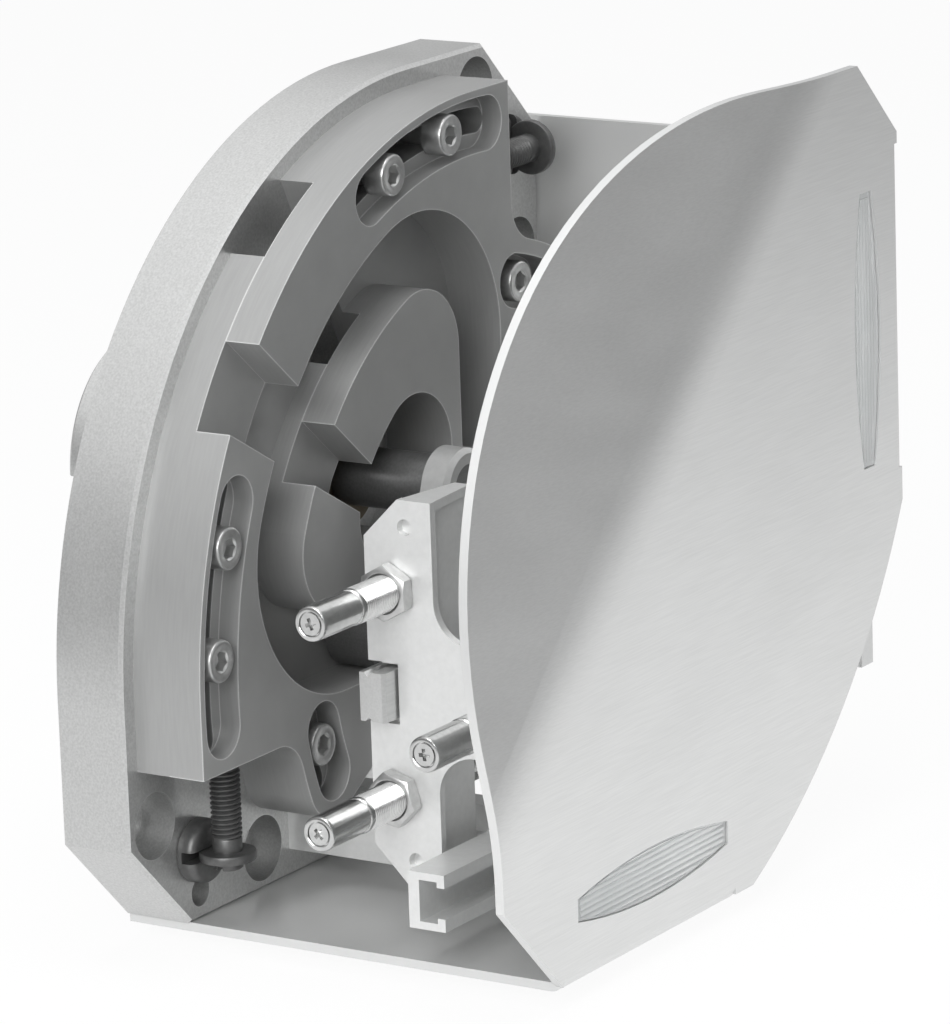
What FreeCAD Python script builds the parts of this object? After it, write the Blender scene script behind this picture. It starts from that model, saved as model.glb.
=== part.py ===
import FreeCAD, Part
import math
import os

# Handling module: a cam-guided swivel and linear unit behind a folded sheet cover.
# Frame: the origin is on the swivel axis at the base plate's rear face, which is the mounting face.
# +Z is up, +X points out of the work side, and the cover is on the -Y side.
# f is the distance in front of the base plate's front face, so y = -(plate_thickness + f).
# The machine is symmetric about the diagonal that swaps (x, z) with (-z, -x).

# Fits and clearances
fit_gap = 0.02            # radial room of a seated bore or pin
running_gap = 0.04        # radial room of a running shaft
air_gap = 0.35            # room between pieces that move past each other

# Base plate
plate_thickness = 12.5
plate_radius = 88.0       # outer arc about the swivel axis
plate_reach = 40.0        # swivel axis to the two straight sides
plate_chamfer = 16.0      # cut corners at the ends of the straight sides
corner_radius = 114.0     # large arc of the inner corner
corner_reach = 26.3       # swivel axis to that arc along the diagonal
plate_edge = 0.6          # chamfer of the front edge
mount_places = [(21.2, 80.7), (33.1, 51.0)]
mount_bore = 6.6
mount_head_bore = 11.0
mount_head_depth = 6.5
spare_thread_place = (35.4, 69.0)
spare_thread_bore = 5.0

# Cam plates
cam_height = 12.8
cam_lap = 6.4             # level of the half-lap between the two plates
cam_radius = 84.7
cam_edge = 11.2           # straight end of each plate, beside its leg
groove_radius = 64.5
groove_width = 13.0
groove_bend = 17.5        # centre-line radius between a leg and the arc
groove_floor = 3.0
lobe_outer = 59.2
lobe_fillet = 7.0
lobe_end = 60.0           # angle of the lobe's tip
lobe_round = 7.0          # corners of the tip
drive_offset = 24.0       # drive axis from the swivel axis, along -X and +Z alike
pocket_half = 10.64       # half width of the arc-shaped pocket round the drive shaft
pocket_angle = 126.7
pocket_overrun = 10.0     # angle that the pocket's cut runs past the half-lap
upper_rear_end = 116.7    # half-lap ends, as angles about the swivel axis
upper_front_end = 139.5
lower_rear_end = 141.6
lower_front_end = 120.0
slot_radius = 78.8
slot_start = 83.5
slot_stop = 116.5
lobe_slot_radius = 51.9
lobe_slot_start = 63.0
lobe_slot_stop = 82.4
slot_width = 9.2
lobe_slot_width = 9.2
slot_floor = 9.0          # level that the screw heads bear on
lobe_slot_floor = 8.3
cam_screw_angles = [95.0, 108.0]
lobe_screw_angle = 74.0
cam_screw_grip = 8.0      # thread in the base plate

# Fasteners: shank diameter, head diameter, head height, socket across flats
m6_nut_flats = 8.0
m6_nut_height = 2.8
m4 = (4.0, 7.0, 4.0, 3.0)
m3 = (3.0, 5.5, 3.0, 2.5)
m2 = (2.0, 3.8, 2.0, 1.5)

# Cam adjusters: a screw in the cam's end whose collar sits in a slotted post
adjuster_radius = 70.0
adjuster_place = 28.0     # collar and post from the swivel axis
adjuster_thread = 5.0
adjuster_depth = 9.0      # thread inside the cam
collar_diameter = 9.4
collar_thickness = 1.5
post_diameter = 10.6
post_height = 3.2
post_stem = 6.0
post_stem_depth = 9.0
post_slot = 1.9
post_slot_depth = 2.2
adjuster_kerf = 1.0       # screwdriver slot in the end of the screw

# Swivel bearing
bearing_bore = 15.0
bearing_outside = 24.0
bearing_width = 5.0
inner_ring_wall = 1.4
carrier_radius = 14.0
carrier_flange = 21.0
carrier_flange_height = 4.0
carrier_height = 12.5
carrier_shoulder = 1.5
carrier_screw_radius = 18.0
carrier_screw_grip = 7.0
bearing_inset = 0.2       # front bearing below the carrier's rim
rear_bearing_recess = 4.5
bearing_cap_thickness = 1.5
ring_thickness = 1.0
ring_width = 1.8
ring_groove = 0.5
ring_mouth = 4.0
shaft_end_room = 1.0      # shaft to the closing cap

# Swivel hub, guide carriage and stop portal
hub_radius = 19.5
hub_gap = 0.8
hub_height = 11.2
carriage_length = 22.5
carriage_cap = 2.2
carriage_width = 20.0
carriage_height = 8.5
carriage_screw_x = 7.2
carriage_screw_z = 7.6
carriage_screw_grip = 3.0
portal_x = -9.0
portal_thickness = 7.0
portal_opening = 11.5     # half width between the posts
portal_foot = 17.0        # half width over the feet
portal_half = 20.5        # half width above the drive lever
portal_step = 14.3        # height of the feet
portal_screw_z = 14.25
portal_screw_grip = 8.0
portal_rim = 1.0          # wall beyond the front stop
stud_diameter = 6.0
stud_shank = 4.0
stud_nut_flats = 7.0
stud_nut_height = 2.4

# Linear slide
rail_width = 8.0
rail_height = 4.7
rail_back = 5.4           # level of the rail's inner face above the hub
rail_x0 = -65.3
rail_bevel = 0.6          # on the tail end's front edge
rail_inset = 0.5          # rail's work end inside the slide's
rail_hole_pitch = 15.0
rail_track = 0.7          # depth of the ball tracks in the rail's sides
slide_thickness = 6.0
slide_half = 10.5
slide_x0 = -50.0
slide_inset = 2.0         # slide's work end inside the plate's side
rail_screw_inset = 9.0    # slide's end to the first rail screw
rail_screw_skin = 2.0     # slide left over a rail screw's tip
slide_screw_grip = 8.0    # thread in the slide's ends
follower_screw_grip = 4.0
follower_screw_x = 4.0
follower_screw_z = 6.6
tail_screw_z = 7.2

# Tail: block, bracket and shock absorbers
sheet = 1.5               # thickness of the bracket and the cover
tail_block_length = 10.3
tail_block_height = 10.0
tail_block_inset = 1.6    # below the bracket's rear edge
tail_block_chamfer = 4.2
bracket_half = 31.7
bracket_chamfer = 6.4
bracket_f0 = 29.4
bracket_f1 = 42.0
bracket_fillet = 6.7      # between the back and its front tongue
tongue_half = 9.0
tongue_reach = 60.0
notch_room = 1.0          # bracket's notch beside the rail
flange_length = 13.5
flange_taper = 2.2
bracket_hole = 2.7
bracket_hole_place = (37.1, 27.3)
absorber_thread = 6.0
absorber_sleeve = 5.75
absorber_sleeve_length = 11.3
absorber_length = 45.0
absorber_tail = 23.0      # length that stands out behind the bracket
recess_length = 2.4       # cross recess in the rear end
recess_width = 0.8
recess_depth = 0.9
absorber_side = (34.2, 16.9)
absorber_front = (54.3, -1.5)
rod_diameter = 2.5
rod_stroke = 6.0
rod_inside = 8.0
rod_bore_room = 1.0
stop_room = 0.35

# Gripper plate
gripper_thickness = 4.0
gripper_half = 17.3
gripper_reach = 63.0
gripper_hole = 4.0
gripper_pattern_f = 14.0  # thread pattern for the gripper, across and along Z
gripper_pattern_z = 20.0
gripper_screw_z = 7.0

# Cam follower
follower_x = -30.0
roller_gap = 0.1
roller_bore = 6.0
roller_height = 8.2
follower_collar = 10.0
follower_collar_height = 1.8
bush_diameter = 8.0
pivot_gap = 0.3           # opened pivot between the follower and the slide
follower_block_length = 14.0
follower_block_half = 9.0
block_room = 0.5          # follower block above the drive lever
roller_room = 0.15        # beside the roller
roller_lift = 1.0         # roller above the groove's floor
rivet_thickness = 0.6
rivet_rim = 1.2
bush_end_room = 0.2

# Drive and its lever
shaft_diameter = 10.0
journal_diameter = 8.0    # shaft end that carries the lever
lever_hub = 13.2
lever_hub_edge = 0.8
lever_f0 = 20.0
lever_thickness = 4.2
lever_half = 8.0          # half width of the fork
lever_taper = 15.0        # arm's run from the hub's width to the fork's
lever_reach = 50.0
lever_slot_room = 0.8
grub_diameter = 3.0
grub_inset = 0.4
bush_wall = 2.0
bush_flange = 2.0
bush_flange_height = 1.5
housing_diameter = 43.0
housing_length = 27.5
housing_cap = 4.0         # rear end beyond the parting groove
housing_groove = 0.8
housing_groove_depth = 0.6
housing_edge = 0.8
housing_pcd = 33.0
housing_shaft_depth = 20.0
housing_shaft_room = 1.0
housing_screw_grip = 9.0
port_diameter = 5.0
port_depth = 8.0
port_flat = 19.5          # drive axis to the flat that the ports open in
port_flat_top = 0.3       # top of the flat above the drive axis
port_drop = 6.0           # ports below the drive axis
port_spacing = 12.0

# Sensor rails and their supports
sensor_rail_f = 44.1
sensor_rail_depth = 6.7
sensor_rail_z = -28.75
sensor_rail_width = 9.3
sensor_rail_x0 = -75.0
sensor_rail_x1 = -20.0
sensor_web = 2.0
sensor_flange = 1.25
sensor_lip = 0.9
sensor_lip_thickness = 1.4
support_width = 5.0
support_depth = 6.3
support_xs = [-43.4, -26.0]
support_z = -35.3
support_screw_z = -30.45
support_screw_grip = 6.0
sensor_screw_head = 3.2
sensor_screw_grip = 6.0

# Cover
cover_front = 70.0
cover_bend = 2.4          # outer radius of the bends to the two walls
cover_lip = 0.6           # front sheet beyond the plate's sides
cover_chamfer = 13.0      # cut corner at the top
cover_cut = 16.5          # cut corner at the bottom
upright_drop = 2.0        # right wall ends this far below the cut corner
wall_start = 18.0
fold_start = 47.5         # along the diagonal from the swivel axis
fold_radius = 38.0
fold_angle = 16.0
cover_screw_places = [30.0, 62.0]
cover_screw_head = (4.0, 7.6, 2.2, 2.5)
cover_screw_depth = 8.0

# Sensor windows
window_centre = -43.4
window_length = 46.5
window_z = -29.5
window_half = 4.3
window_end_half = 1.9
window_lip = 1.4
window_lip_thickness = 1.0
window_fit = 0.05

V = FreeCAD.Vector
diagonal = V(1, 0, 1)
clear_cut = 1.0           # overshoot of a cutting body
tip_room = 0.5            # bottom of a blind hole beyond the screw's tip
head_sink = 0.3           # sunk screw heads below the surface

hub_back = carrier_height + hub_gap
hub_front = hub_back + hub_height
rail_f0 = hub_front + rail_back
rail_f1 = rail_f0 + rail_height
slide_front = rail_f1 + slide_thickness
carriage_front = hub_front + carriage_height
portal_front = slide_front + air_gap * 4
lever_f1 = lever_f0 + lever_thickness
hub_top = lever_f1 + lever_hub_edge
block_f0 = hub_top + block_room
slide_x1 = plate_reach - slide_inset
rail_x1 = slide_x1 - rail_inset
tail_x1 = slide_x0
tail_x0 = tail_x1 - tail_block_length
bracket_x0 = tail_x0 - sheet
absorber_x0 = bracket_x0 - absorber_tail
absorber_x1 = absorber_x0 + absorber_length
rod_tip = absorber_x1 + rod_stroke
stud_tip = rod_tip + stop_room
pocket_radius = drive_offset * math.sqrt(2)
cam_inner = pocket_radius - pocket_half
finger_inner = pocket_radius + pocket_half
leg_end = math.sqrt((groove_radius - groove_bend) ** 2 - groove_bend ** 2)
bend_angle = math.degrees(math.atan2(leg_end, -groove_bend))
cover_reach = plate_reach + cover_lip
wall_outer = plate_reach + sheet
upright_stop = plate_radius - cover_chamfer - upright_drop
bottom_stop = plate_radius - cover_cut


def at(x, f, z):
    """Point at x and z, f in front of the base plate's front face."""
    return V(x, -(plate_thickness + f), z)


def polar(radius, angle):
    """Point in (x, z) at a radius and an angle about the swivel axis."""
    turn = math.radians(angle)
    return (radius * math.cos(turn), radius * math.sin(turn))


def offset(centre, radius, angle):
    """Point in (x, z) at a radius and an angle about another centre."""
    step = polar(radius, angle)
    return (centre[0] + step[0], centre[1] + step[1])


def outline(steps, lift):
    """Closed face: a step is a corner, or a pair (through, end) for an arc."""
    edges = []
    here = steps[0]
    for step in steps[1:] + [steps[0]]:
        if isinstance(step[0], tuple):
            through, end = step
            edges.append(Part.Arc(lift(here), lift(through), lift(end)).toShape())
        else:
            end = step
            if math.dist(here, end) > 1e-6:
                edges.append(Part.makeLine(lift(here), lift(end)))
        here = end
    return Part.Face(Part.Wire(edges))


def front_prism(steps, f0, f1):
    """Outline in (x, z) between two levels."""
    face = outline(steps, lambda p: at(p[0], f0, p[1]))
    return face.extrude(V(0, f0 - f1, 0))


def side_prism(steps, x0, x1):
    """Outline in (f, z) between two places along X."""
    face = outline(steps, lambda p: at(x0, p[0], p[1]))
    return face.extrude(V(x1 - x0, 0, 0))


def top_prism(steps, z0, z1):
    """Outline in (x, f) between two heights."""
    face = outline(steps, lambda p: at(p[0], p[1], z0))
    return face.extrude(V(0, 0, z1 - z0))


def box(x0, x1, f0, f1, z0, z1):
    return Part.makeBox(x1 - x0, f1 - f0, z1 - z0, at(x0, f1, z0))


def pin_f(place, diameter, f0, f1):
    """Cylinder along the swivel axis direction."""
    return Part.makeCylinder(diameter / 2, f1 - f0, at(place[0], f0, place[1]), V(0, -1, 0))


def pin_x(place, diameter, x0, x1):
    """Cylinder along X at a place given as (f, z)."""
    return Part.makeCylinder(diameter / 2, x1 - x0, at(x0, place[0], place[1]), V(1, 0, 0))


def tube_f(place, outside, inside, f0, f1):
    return pin_f(place, outside, f0, f1).cut(pin_f(place, inside, f0 - clear_cut, f1 + clear_cut))


def sector(centre, r0, r1, a0, a1, f0, f1):
    """Part of a flat ring between two angles."""
    middle = (a0 + a1) / 2
    steps = [
        offset(centre, r0, a0),
        offset(centre, r1, a0),
        (offset(centre, r1, middle), offset(centre, r1, a1)),
        offset(centre, r0, a1),
        (offset(centre, r0, middle), offset(centre, r0, a0)),
    ]
    return front_prism(steps, f0, f1)


def arc_slot(radius, width, a0, a1, f0, f1):
    """Slot along an arc about the swivel axis; a0 and a1 are the ends of its length."""
    half = width / 2
    lead = math.degrees(half / radius)
    c0 = a0 + lead
    c1 = a1 - lead
    middle = (c0 + c1) / 2
    steps = [
        polar(radius - half, c0),
        (offset(polar(radius, c0), half, c0 - 90), polar(radius + half, c0)),
        (polar(radius + half, middle), polar(radius + half, c1)),
        (offset(polar(radius, c1), half, c1 + 90), polar(radius - half, c1)),
        (polar(radius - half, middle), polar(radius - half, c0)),
    ]
    return front_prism(steps, f0, f1)


def twin(shape):
    """The same piece on the other side of the machine's diagonal."""
    return shape.mirror(V(0, 0, 0), diagonal)


def twin_place(place):
    return (-place[1], -place[0])


def merge(*solids):
    return solids[0].multiFuse(list(solids[1:])).removeSplitter()


def hexagon(flats, height, turn=0):
    """Hexagonal bar along +Z from the origin, with a corner at this angle."""
    corner = flats / math.sqrt(3)
    ring = [V(*polar(corner, 60 * k + turn), 0) for k in range(7)]
    return Part.Face(Part.makePolygon(ring)).extrude(V(0, 0, height))


def placed(shape, base, direction):
    """Moves a shape built along +Z from the origin to a base point and a direction."""
    copy = shape.copy()
    copy.Placement = FreeCAD.Placement(base, FreeCAD.Rotation(V(0, 0, 1), direction))
    return copy


def cap_screw(size, length, base, direction):
    """Socket screw: base is under its head, direction points from the tip to the head."""
    shank, head, height, flats = size
    body = Part.makeCylinder(shank / 2, length + height / 2, V(0, 0, -length))
    top = Part.makeCylinder(head / 2, height)
    socket = hexagon(flats, height / 2 + clear_cut)
    socket.translate(V(0, 0, height / 2))
    return placed(body.fuse(top).cut(socket).removeSplitter(), base, direction)


def screw_hole(size, length, base, direction, head_room=0.0):
    """Cutting body for a screw: its shank, and its head where it is sunk by head_room."""
    shank, head, height, flats = size
    hole = Part.makeCylinder(shank / 2 + fit_gap, length + clear_cut, V(0, 0, -length))
    if head_room > 0:
        hole = hole.fuse(Part.makeCylinder(head / 2 + air_gap, head_room + clear_cut))
    return placed(hole, base, direction)


def hex_nut(flats, bore, height, base, direction):
    body = hexagon(flats, height, 30)
    hole = Part.makeCylinder(bore / 2 + fit_gap, height + 2 * clear_cut, V(0, 0, -clear_cut))
    return placed(body.cut(hole), base, direction)


def save(name, *solids):
    """Writes one node, a single solid or a group of separate ones."""
    shape = solids[0] if len(solids) == 1 else Part.makeCompound(list(solids))
    shape.exportStep("parts/%s.step" % name)


os.makedirs("parts", exist_ok=True)
TO_FRONT = V(0, -1, 0)
TO_REAR = V(0, 1, 0)
TO_WORK = V(1, 0, 0)
TO_TAIL = V(-1, 0, 0)
centre = (0.0, 0.0)
drive = (-drive_offset, drive_offset)


# Base plate and its outline, which the cover repeats
corner_centre = offset(centre, corner_radius - corner_reach, 135)


def side_start(reach):
    """Height at which the inner arc meets a straight side at this reach."""
    across = reach - corner_centre[0]
    return corner_centre[1] - math.sqrt(corner_radius ** 2 - across ** 2)


def module_outline(reach, upper_cut, lower_cut):
    """Quarter disc with two straight sides, cut corners and a large inner arc."""
    start = (-plate_radius, 0.0)
    low = side_start(reach)
    return [
        start,
        (polar(plate_radius, 135), (0.0, plate_radius)),
        (reach - upper_cut, plate_radius),
        (reach, plate_radius - upper_cut),
        (reach, low),
        (polar(corner_reach, -45), (-low, -reach)),
        (lower_cut - plate_radius, -reach),
        (-plate_radius, lower_cut - reach),
    ]


all_mounts = mount_places + [twin_place(p) for p in mount_places]
spare_threads = [spare_thread_place, twin_place(spare_thread_place)]
carrier_screws_at = [polar(carrier_screw_radius, 90 * k) for k in range(4)]
housing_screws_at = [offset(drive, housing_pcd / 2, 45 + 90 * k) for k in range(4)]
cam_seats = [(polar(slot_radius, a), slot_floor) for a in cam_screw_angles]
cam_seats.append((polar(lobe_slot_radius, lobe_screw_angle), lobe_slot_floor))
cam_seats += [(twin_place(p), level) for p, level in cam_seats]
posts_at = [(adjuster_place, adjuster_radius), (-adjuster_radius, -adjuster_place)]
support_places = [(x + support_width / 2, support_z + support_depth / 2) for x in support_xs]
support_places += [twin_place(p) for p in support_places]
carrier_screw_length = carrier_flange_height + carrier_screw_grip
support_head_depth = m3[2] + head_sink
housing_rear = -(plate_thickness + housing_length)


def cover_screw_spots():
    """Under-head points of the screws that hold the right wall to the plate's edge."""
    level = -plate_thickness / 2
    return [at(wall_outer, level, z) for z in cover_screw_places]


def edges_at(body, level):
    """Edges that lie flat at a level in front of the base plate."""
    y = at(0, level, 0).y
    return [e for e in body.Edges if abs(e.BoundBox.YMin - y) < 1e-6 and abs(e.BoundBox.YMax - y) < 1e-6]


def base_plate():
    body = front_prism(module_outline(plate_reach, plate_chamfer, plate_chamfer), -plate_thickness, 0)
    body = body.makeChamfer(plate_edge, edges_at(body, 0))
    cuts = []
    for place in all_mounts:
        cuts.append(pin_f(place, mount_bore, -plate_thickness - clear_cut, clear_cut))
        cuts.append(pin_f(place, mount_head_bore, -mount_head_depth, clear_cut))
    for place in spare_threads:
        cuts.append(pin_f(place, spare_thread_bore, -plate_thickness - clear_cut, clear_cut))
    sleeve = 2 * (carrier_radius + fit_gap)
    cuts.append(pin_f(centre, sleeve, -plate_thickness - clear_cut, clear_cut))
    bush = shaft_diameter + 2 * (bush_wall + fit_gap)
    cuts.append(pin_f(drive, bush, -plate_thickness - clear_cut, clear_cut))
    for place, level in cam_seats:
        cuts.append(screw_hole(m4, level + cam_screw_grip, at(place[0], level, place[1]), TO_FRONT))
    for place in carrier_screws_at:
        base = at(place[0], carrier_flange_height, place[1])
        cuts.append(screw_hole(m3, carrier_screw_length, base, TO_FRONT))
    for place in housing_screws_at:
        end = housing_screw_grip - plate_thickness
        cuts.append(pin_f(place, m4[0] + 2 * fit_gap, -plate_thickness - clear_cut, end))
    for place in posts_at:
        cuts.append(pin_f(place, post_stem + 2 * fit_gap, -post_stem_depth - fit_gap, clear_cut))
    for place in support_places:
        base = at(place[0], support_head_depth - plate_thickness, place[1])
        cuts.append(screw_hole(m3, plate_thickness, base, TO_REAR, support_head_depth))
    for spot in cover_screw_spots():
        hole = screw_hole(cover_screw_head, sheet + cover_screw_depth, spot, TO_WORK)
        cuts.append(hole)
        cuts.append(twin(hole))
    return body.cut(cuts)


# Cam plates: each holds one leg of the groove and half of its arc
def groove_cutter():
    half = groove_width / 2
    bend_centre = (-groove_bend, leg_end)
    top = cam_height + clear_cut
    leg = box(-half, half, groove_floor, top, 0, leg_end)
    bend = sector(bend_centre, groove_bend - half, groove_bend + half, 0, bend_angle, groove_floor, top)
    arc = sector(centre, groove_radius - half, groove_radius + half, bend_angle, 135, groove_floor, top)
    cutter = merge(leg, bend, arc)
    return merge(cutter, twin(cutter))


def cam_slots():
    """Curved slots: a wide level for the screw heads and a narrow one for their shanks."""
    top = cam_height + clear_cut
    shank = m4[0] + air_gap
    return [
        arc_slot(slot_radius, slot_width, slot_start, slot_stop, slot_floor, top),
        arc_slot(slot_radius, shank, slot_start, slot_stop, -clear_cut, top),
        arc_slot(lobe_slot_radius, lobe_slot_width, lobe_slot_start, lobe_slot_stop, lobe_slot_floor, top),
        arc_slot(lobe_slot_radius, shank, lobe_slot_start, lobe_slot_stop, -clear_cut, top),
    ]


def cam_lobe():
    """Wing beside the leg, with a rounded tip and a fillet into the plate's straight end."""
    wing = sector(centre, cam_inner, lobe_outer, lobe_end, 90, 0, cam_height)
    tips = [polar(cam_inner, lobe_end), polar(lobe_outer, lobe_end)]
    corners = []
    for edge in wing.Edges:
        middle = edge.CenterOfMass
        if any(math.dist((middle.x, middle.z), tip) < 1e-6 for tip in tips):
            corners.append(edge)
    wing = wing.makeFillet(lobe_round, corners)
    corner_x = cam_edge + lobe_fillet
    corner = (corner_x, math.sqrt((lobe_outer + lobe_fillet) ** 2 - corner_x ** 2))
    turn = math.degrees(math.atan2(corner[1], corner[0]))
    web = front_prism([
        (cam_edge, corner[1]),
        (offset(corner, lobe_fillet, (360 + turn) / 2), polar(lobe_outer, turn)),
        polar(lobe_slot_radius, turn),
        (cam_edge, lobe_slot_radius),
    ], 0, cam_height)
    return [wing, web]


def cam_plate(rear_end, front_end):
    """The upper plate, with its half-lap ends given; the lower one is its twin."""
    front = sector(centre, cam_inner, cam_radius, 90, front_end, cam_lap, cam_height)
    rear = sector(centre, cam_inner, cam_radius, 90, rear_end, 0, cam_lap)
    strip = box(0, cam_edge, 0, cam_height, 0, cam_radius)
    strip = strip.cut(pin_f(centre, 2 * cam_inner, -clear_cut, cam_height + clear_cut))
    body = merge(front, rear, strip, *cam_lobe())
    top = cam_height + clear_cut
    pocket_end = pin_f(polar(pocket_radius, pocket_angle), 2 * pocket_half, -clear_cut, top)
    pocket_stop = max(rear_end, front_end) + pocket_overrun
    pocket = sector(centre, cam_inner - clear_cut, finger_inner, pocket_angle, pocket_stop, -clear_cut, top)
    thread = pin_x((cam_lap, adjuster_radius), adjuster_thread + 2 * fit_gap,
                   cam_edge - adjuster_depth - air_gap, cam_edge + clear_cut)
    return body.cut([groove_cutter(), pocket_end, pocket, thread] + cam_slots()).removeSplitter()


def cam_screws():
    screws = []
    for place, level in cam_seats:
        base = at(place[0], level, place[1])
        screws.append(cap_screw(m4, level + cam_screw_grip - tip_room, base, TO_FRONT))
    return screws


def adjusting_screw():
    """Upper screw along X: thread in the cam, collar in the post's slot, slotted end."""
    tail = adjuster_place + collar_thickness / 2 + collar_thickness
    axis = (cam_lap, adjuster_radius)
    rod = pin_x(axis, adjuster_thread, cam_edge - adjuster_depth, tail)
    half = collar_thickness / 2
    collar = pin_x(axis, collar_diameter, adjuster_place - half, adjuster_place + half)
    kerf = adjuster_kerf / 2
    slot = box(tail - half, tail + clear_cut, cam_lap - kerf, cam_lap + kerf,
               adjuster_radius - adjuster_thread, adjuster_radius + adjuster_thread)
    return merge(rod, collar).cut(slot)


def adjusting_post():
    """Upper post: a round head whose slot takes the adjusting screw's collar."""
    place = posts_at[0]
    head = pin_f(place, post_diameter, 0, post_height)
    stem = pin_f(place, post_stem, -post_stem_depth, 0)
    slot = box(place[0] - post_slot / 2, place[0] + post_slot / 2, post_height - post_slot_depth,
               post_height + clear_cut, place[1] - post_diameter, place[1] + post_diameter)
    return merge(head, stem).cut(slot)


# Swivel bearing
front_bearing = carrier_height - bearing_width - bearing_inset
rear_bearing = -plate_thickness + rear_bearing_recess


def bearing_carrier():
    """Flanged sleeve with a seat at each end and a shoulder between the two bearings."""
    sleeve = pin_f(centre, 2 * carrier_radius, -plate_thickness, carrier_height)
    flange = pin_f(centre, 2 * carrier_flange, 0, carrier_flange_height)
    seat = bearing_outside + 2 * fit_gap
    bore = bearing_outside - 2 * carrier_shoulder
    cuts = [pin_f(centre, bore, -plate_thickness - clear_cut, carrier_height + clear_cut)]
    cuts.append(pin_f(centre, seat, front_bearing, carrier_height + clear_cut))
    cuts.append(pin_f(centre, seat, -plate_thickness - clear_cut, rear_bearing + bearing_width))
    for place in carrier_screws_at:
        base = at(place[0], carrier_flange_height, place[1])
        cuts.append(screw_hole(m3, carrier_screw_length, base, TO_FRONT))
    return merge(sleeve, flange).cut(cuts)


def carrier_screws():
    length = carrier_screw_length - tip_room
    return [cap_screw(m3, length, at(p[0], carrier_flange_height, p[1]), TO_FRONT) for p in carrier_screws_at]


def bearing_cap():
    """Closing disc behind the rear bearing, flush with the mounting face."""
    return pin_f(centre, bearing_outside, -plate_thickness, -plate_thickness + bearing_cap_thickness)


ring_split = bearing_bore + 2 * inner_ring_wall


def bearing_rings(outside, inside):
    return [tube_f(centre, outside, inside, f, f + bearing_width) for f in (front_bearing, rear_bearing)]


shaft_end = -plate_thickness + bearing_cap_thickness + shaft_end_room
ring_f1 = rear_bearing - fit_gap
ring_f0 = ring_f1 - ring_thickness


def retaining_ring():
    """Open ring in the groove behind the rear bearing."""
    inside = bearing_bore - 2 * ring_groove + 2 * fit_gap
    ring = tube_f(centre, bearing_bore + 2 * ring_width, inside, ring_f0, ring_f1)
    half = ring_mouth / 2
    mouth = box(-half, half, ring_f0 - clear_cut, ring_f1 + clear_cut, -bearing_bore, 0)
    return ring.cut(mouth)


# Swivel hub, carriage and portal
carriage_screws_at = [(sx * carriage_screw_x, sz * carriage_screw_z) for sx in (-1, 1) for sz in (-1, 1)]
portal_screws_at = [(portal_x + portal_thickness / 2, s * portal_screw_z) for s in (-1, 1)]
hub_head_depth = m2[2] + head_sink
portal_head_depth = m3[2] + head_sink
studs_at = [absorber_side, (absorber_side[0], -absorber_side[1]), absorber_front]


def swivel_hub():
    shaft = pin_f(centre, bearing_bore - 2 * fit_gap, shaft_end, hub_back)
    shoulder = pin_f(centre, ring_split, front_bearing + bearing_width, hub_back)
    disc = pin_f(centre, 2 * hub_radius, hub_back, hub_front)
    neck = bearing_bore - 2 * ring_groove
    cuts = [tube_f(centre, bearing_bore + clear_cut, neck, ring_f0 - fit_gap, ring_f1 + fit_gap)]
    for place in carriage_screws_at:
        base = at(place[0], hub_back + hub_head_depth, place[1])
        cuts.append(screw_hole(m2, hub_height, base, TO_REAR, hub_head_depth))
    for place in portal_screws_at:
        base = at(place[0], hub_back + portal_head_depth, place[1])
        cuts.append(screw_hole(m3, hub_height, base, TO_REAR, portal_head_depth))
    return merge(shaft, shoulder, disc).cut(cuts)


def carriage_profile():
    half = carriage_width / 2
    gap = rail_width / 2 + air_gap
    return [
        (hub_front, -half), (carriage_front, -half), (carriage_front, -gap), (rail_f0 - air_gap, -gap),
        (rail_f0 - air_gap, gap), (carriage_front, gap), (carriage_front, half), (hub_front, half),
    ]


carriage_body_half = carriage_length / 2 - carriage_cap


def guide_carriage():
    body = side_prism(carriage_profile(), -carriage_body_half, carriage_body_half)
    end = hub_front + carriage_screw_grip + tip_room
    holes = [pin_f(p, m2[0] + 2 * fit_gap, hub_front - clear_cut, end) for p in carriage_screws_at]
    return body.cut(holes)


def carriage_caps():
    left = side_prism(carriage_profile(), -carriage_length / 2, -carriage_body_half)
    right = side_prism(carriage_profile(), carriage_body_half, carriage_length / 2)
    return [left, right]


def carriage_screws():
    length = hub_height - hub_head_depth + carriage_screw_grip
    level = hub_back + hub_head_depth
    return [cap_screw(m2, length, at(p[0], level, p[1]), TO_REAR) for p in carriage_screws_at]


def stop_portal():
    """Arch over the slide: two feet on the hub, a bridge, and a rise for the front stop."""
    step = hub_back + portal_step
    rise = absorber_front[0] + stud_diameter / 2 + portal_rim
    shoulder = portal_front + stud_diameter / 2
    steps = [
        (hub_front, portal_opening), (hub_front, portal_foot), (step, portal_foot), (step, portal_half),
        (shoulder, portal_half), (rise, tongue_half), (rise, -tongue_half), (shoulder, -portal_half),
        (step, -portal_half), (step, -portal_foot), (hub_front, -portal_foot), (hub_front, -portal_opening),
        (portal_front, -portal_opening), (portal_front, portal_opening),
    ]
    body = side_prism(steps, portal_x, portal_x + portal_thickness)
    cuts = [pin_x(p, stud_shank + 2 * fit_gap, portal_x - clear_cut, portal_x + portal_thickness + clear_cut)
            for p in studs_at]
    end = hub_front + portal_screw_grip + tip_room
    cuts += [pin_f(p, m3[0] + 2 * fit_gap, hub_front - clear_cut, end) for p in portal_screws_at]
    return body.cut(cuts)


def portal_screws():
    length = hub_height - portal_head_depth + portal_screw_grip
    level = hub_back + portal_head_depth
    return [cap_screw(m3, length, at(p[0], level, p[1]), TO_REAR) for p in portal_screws_at]


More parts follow.
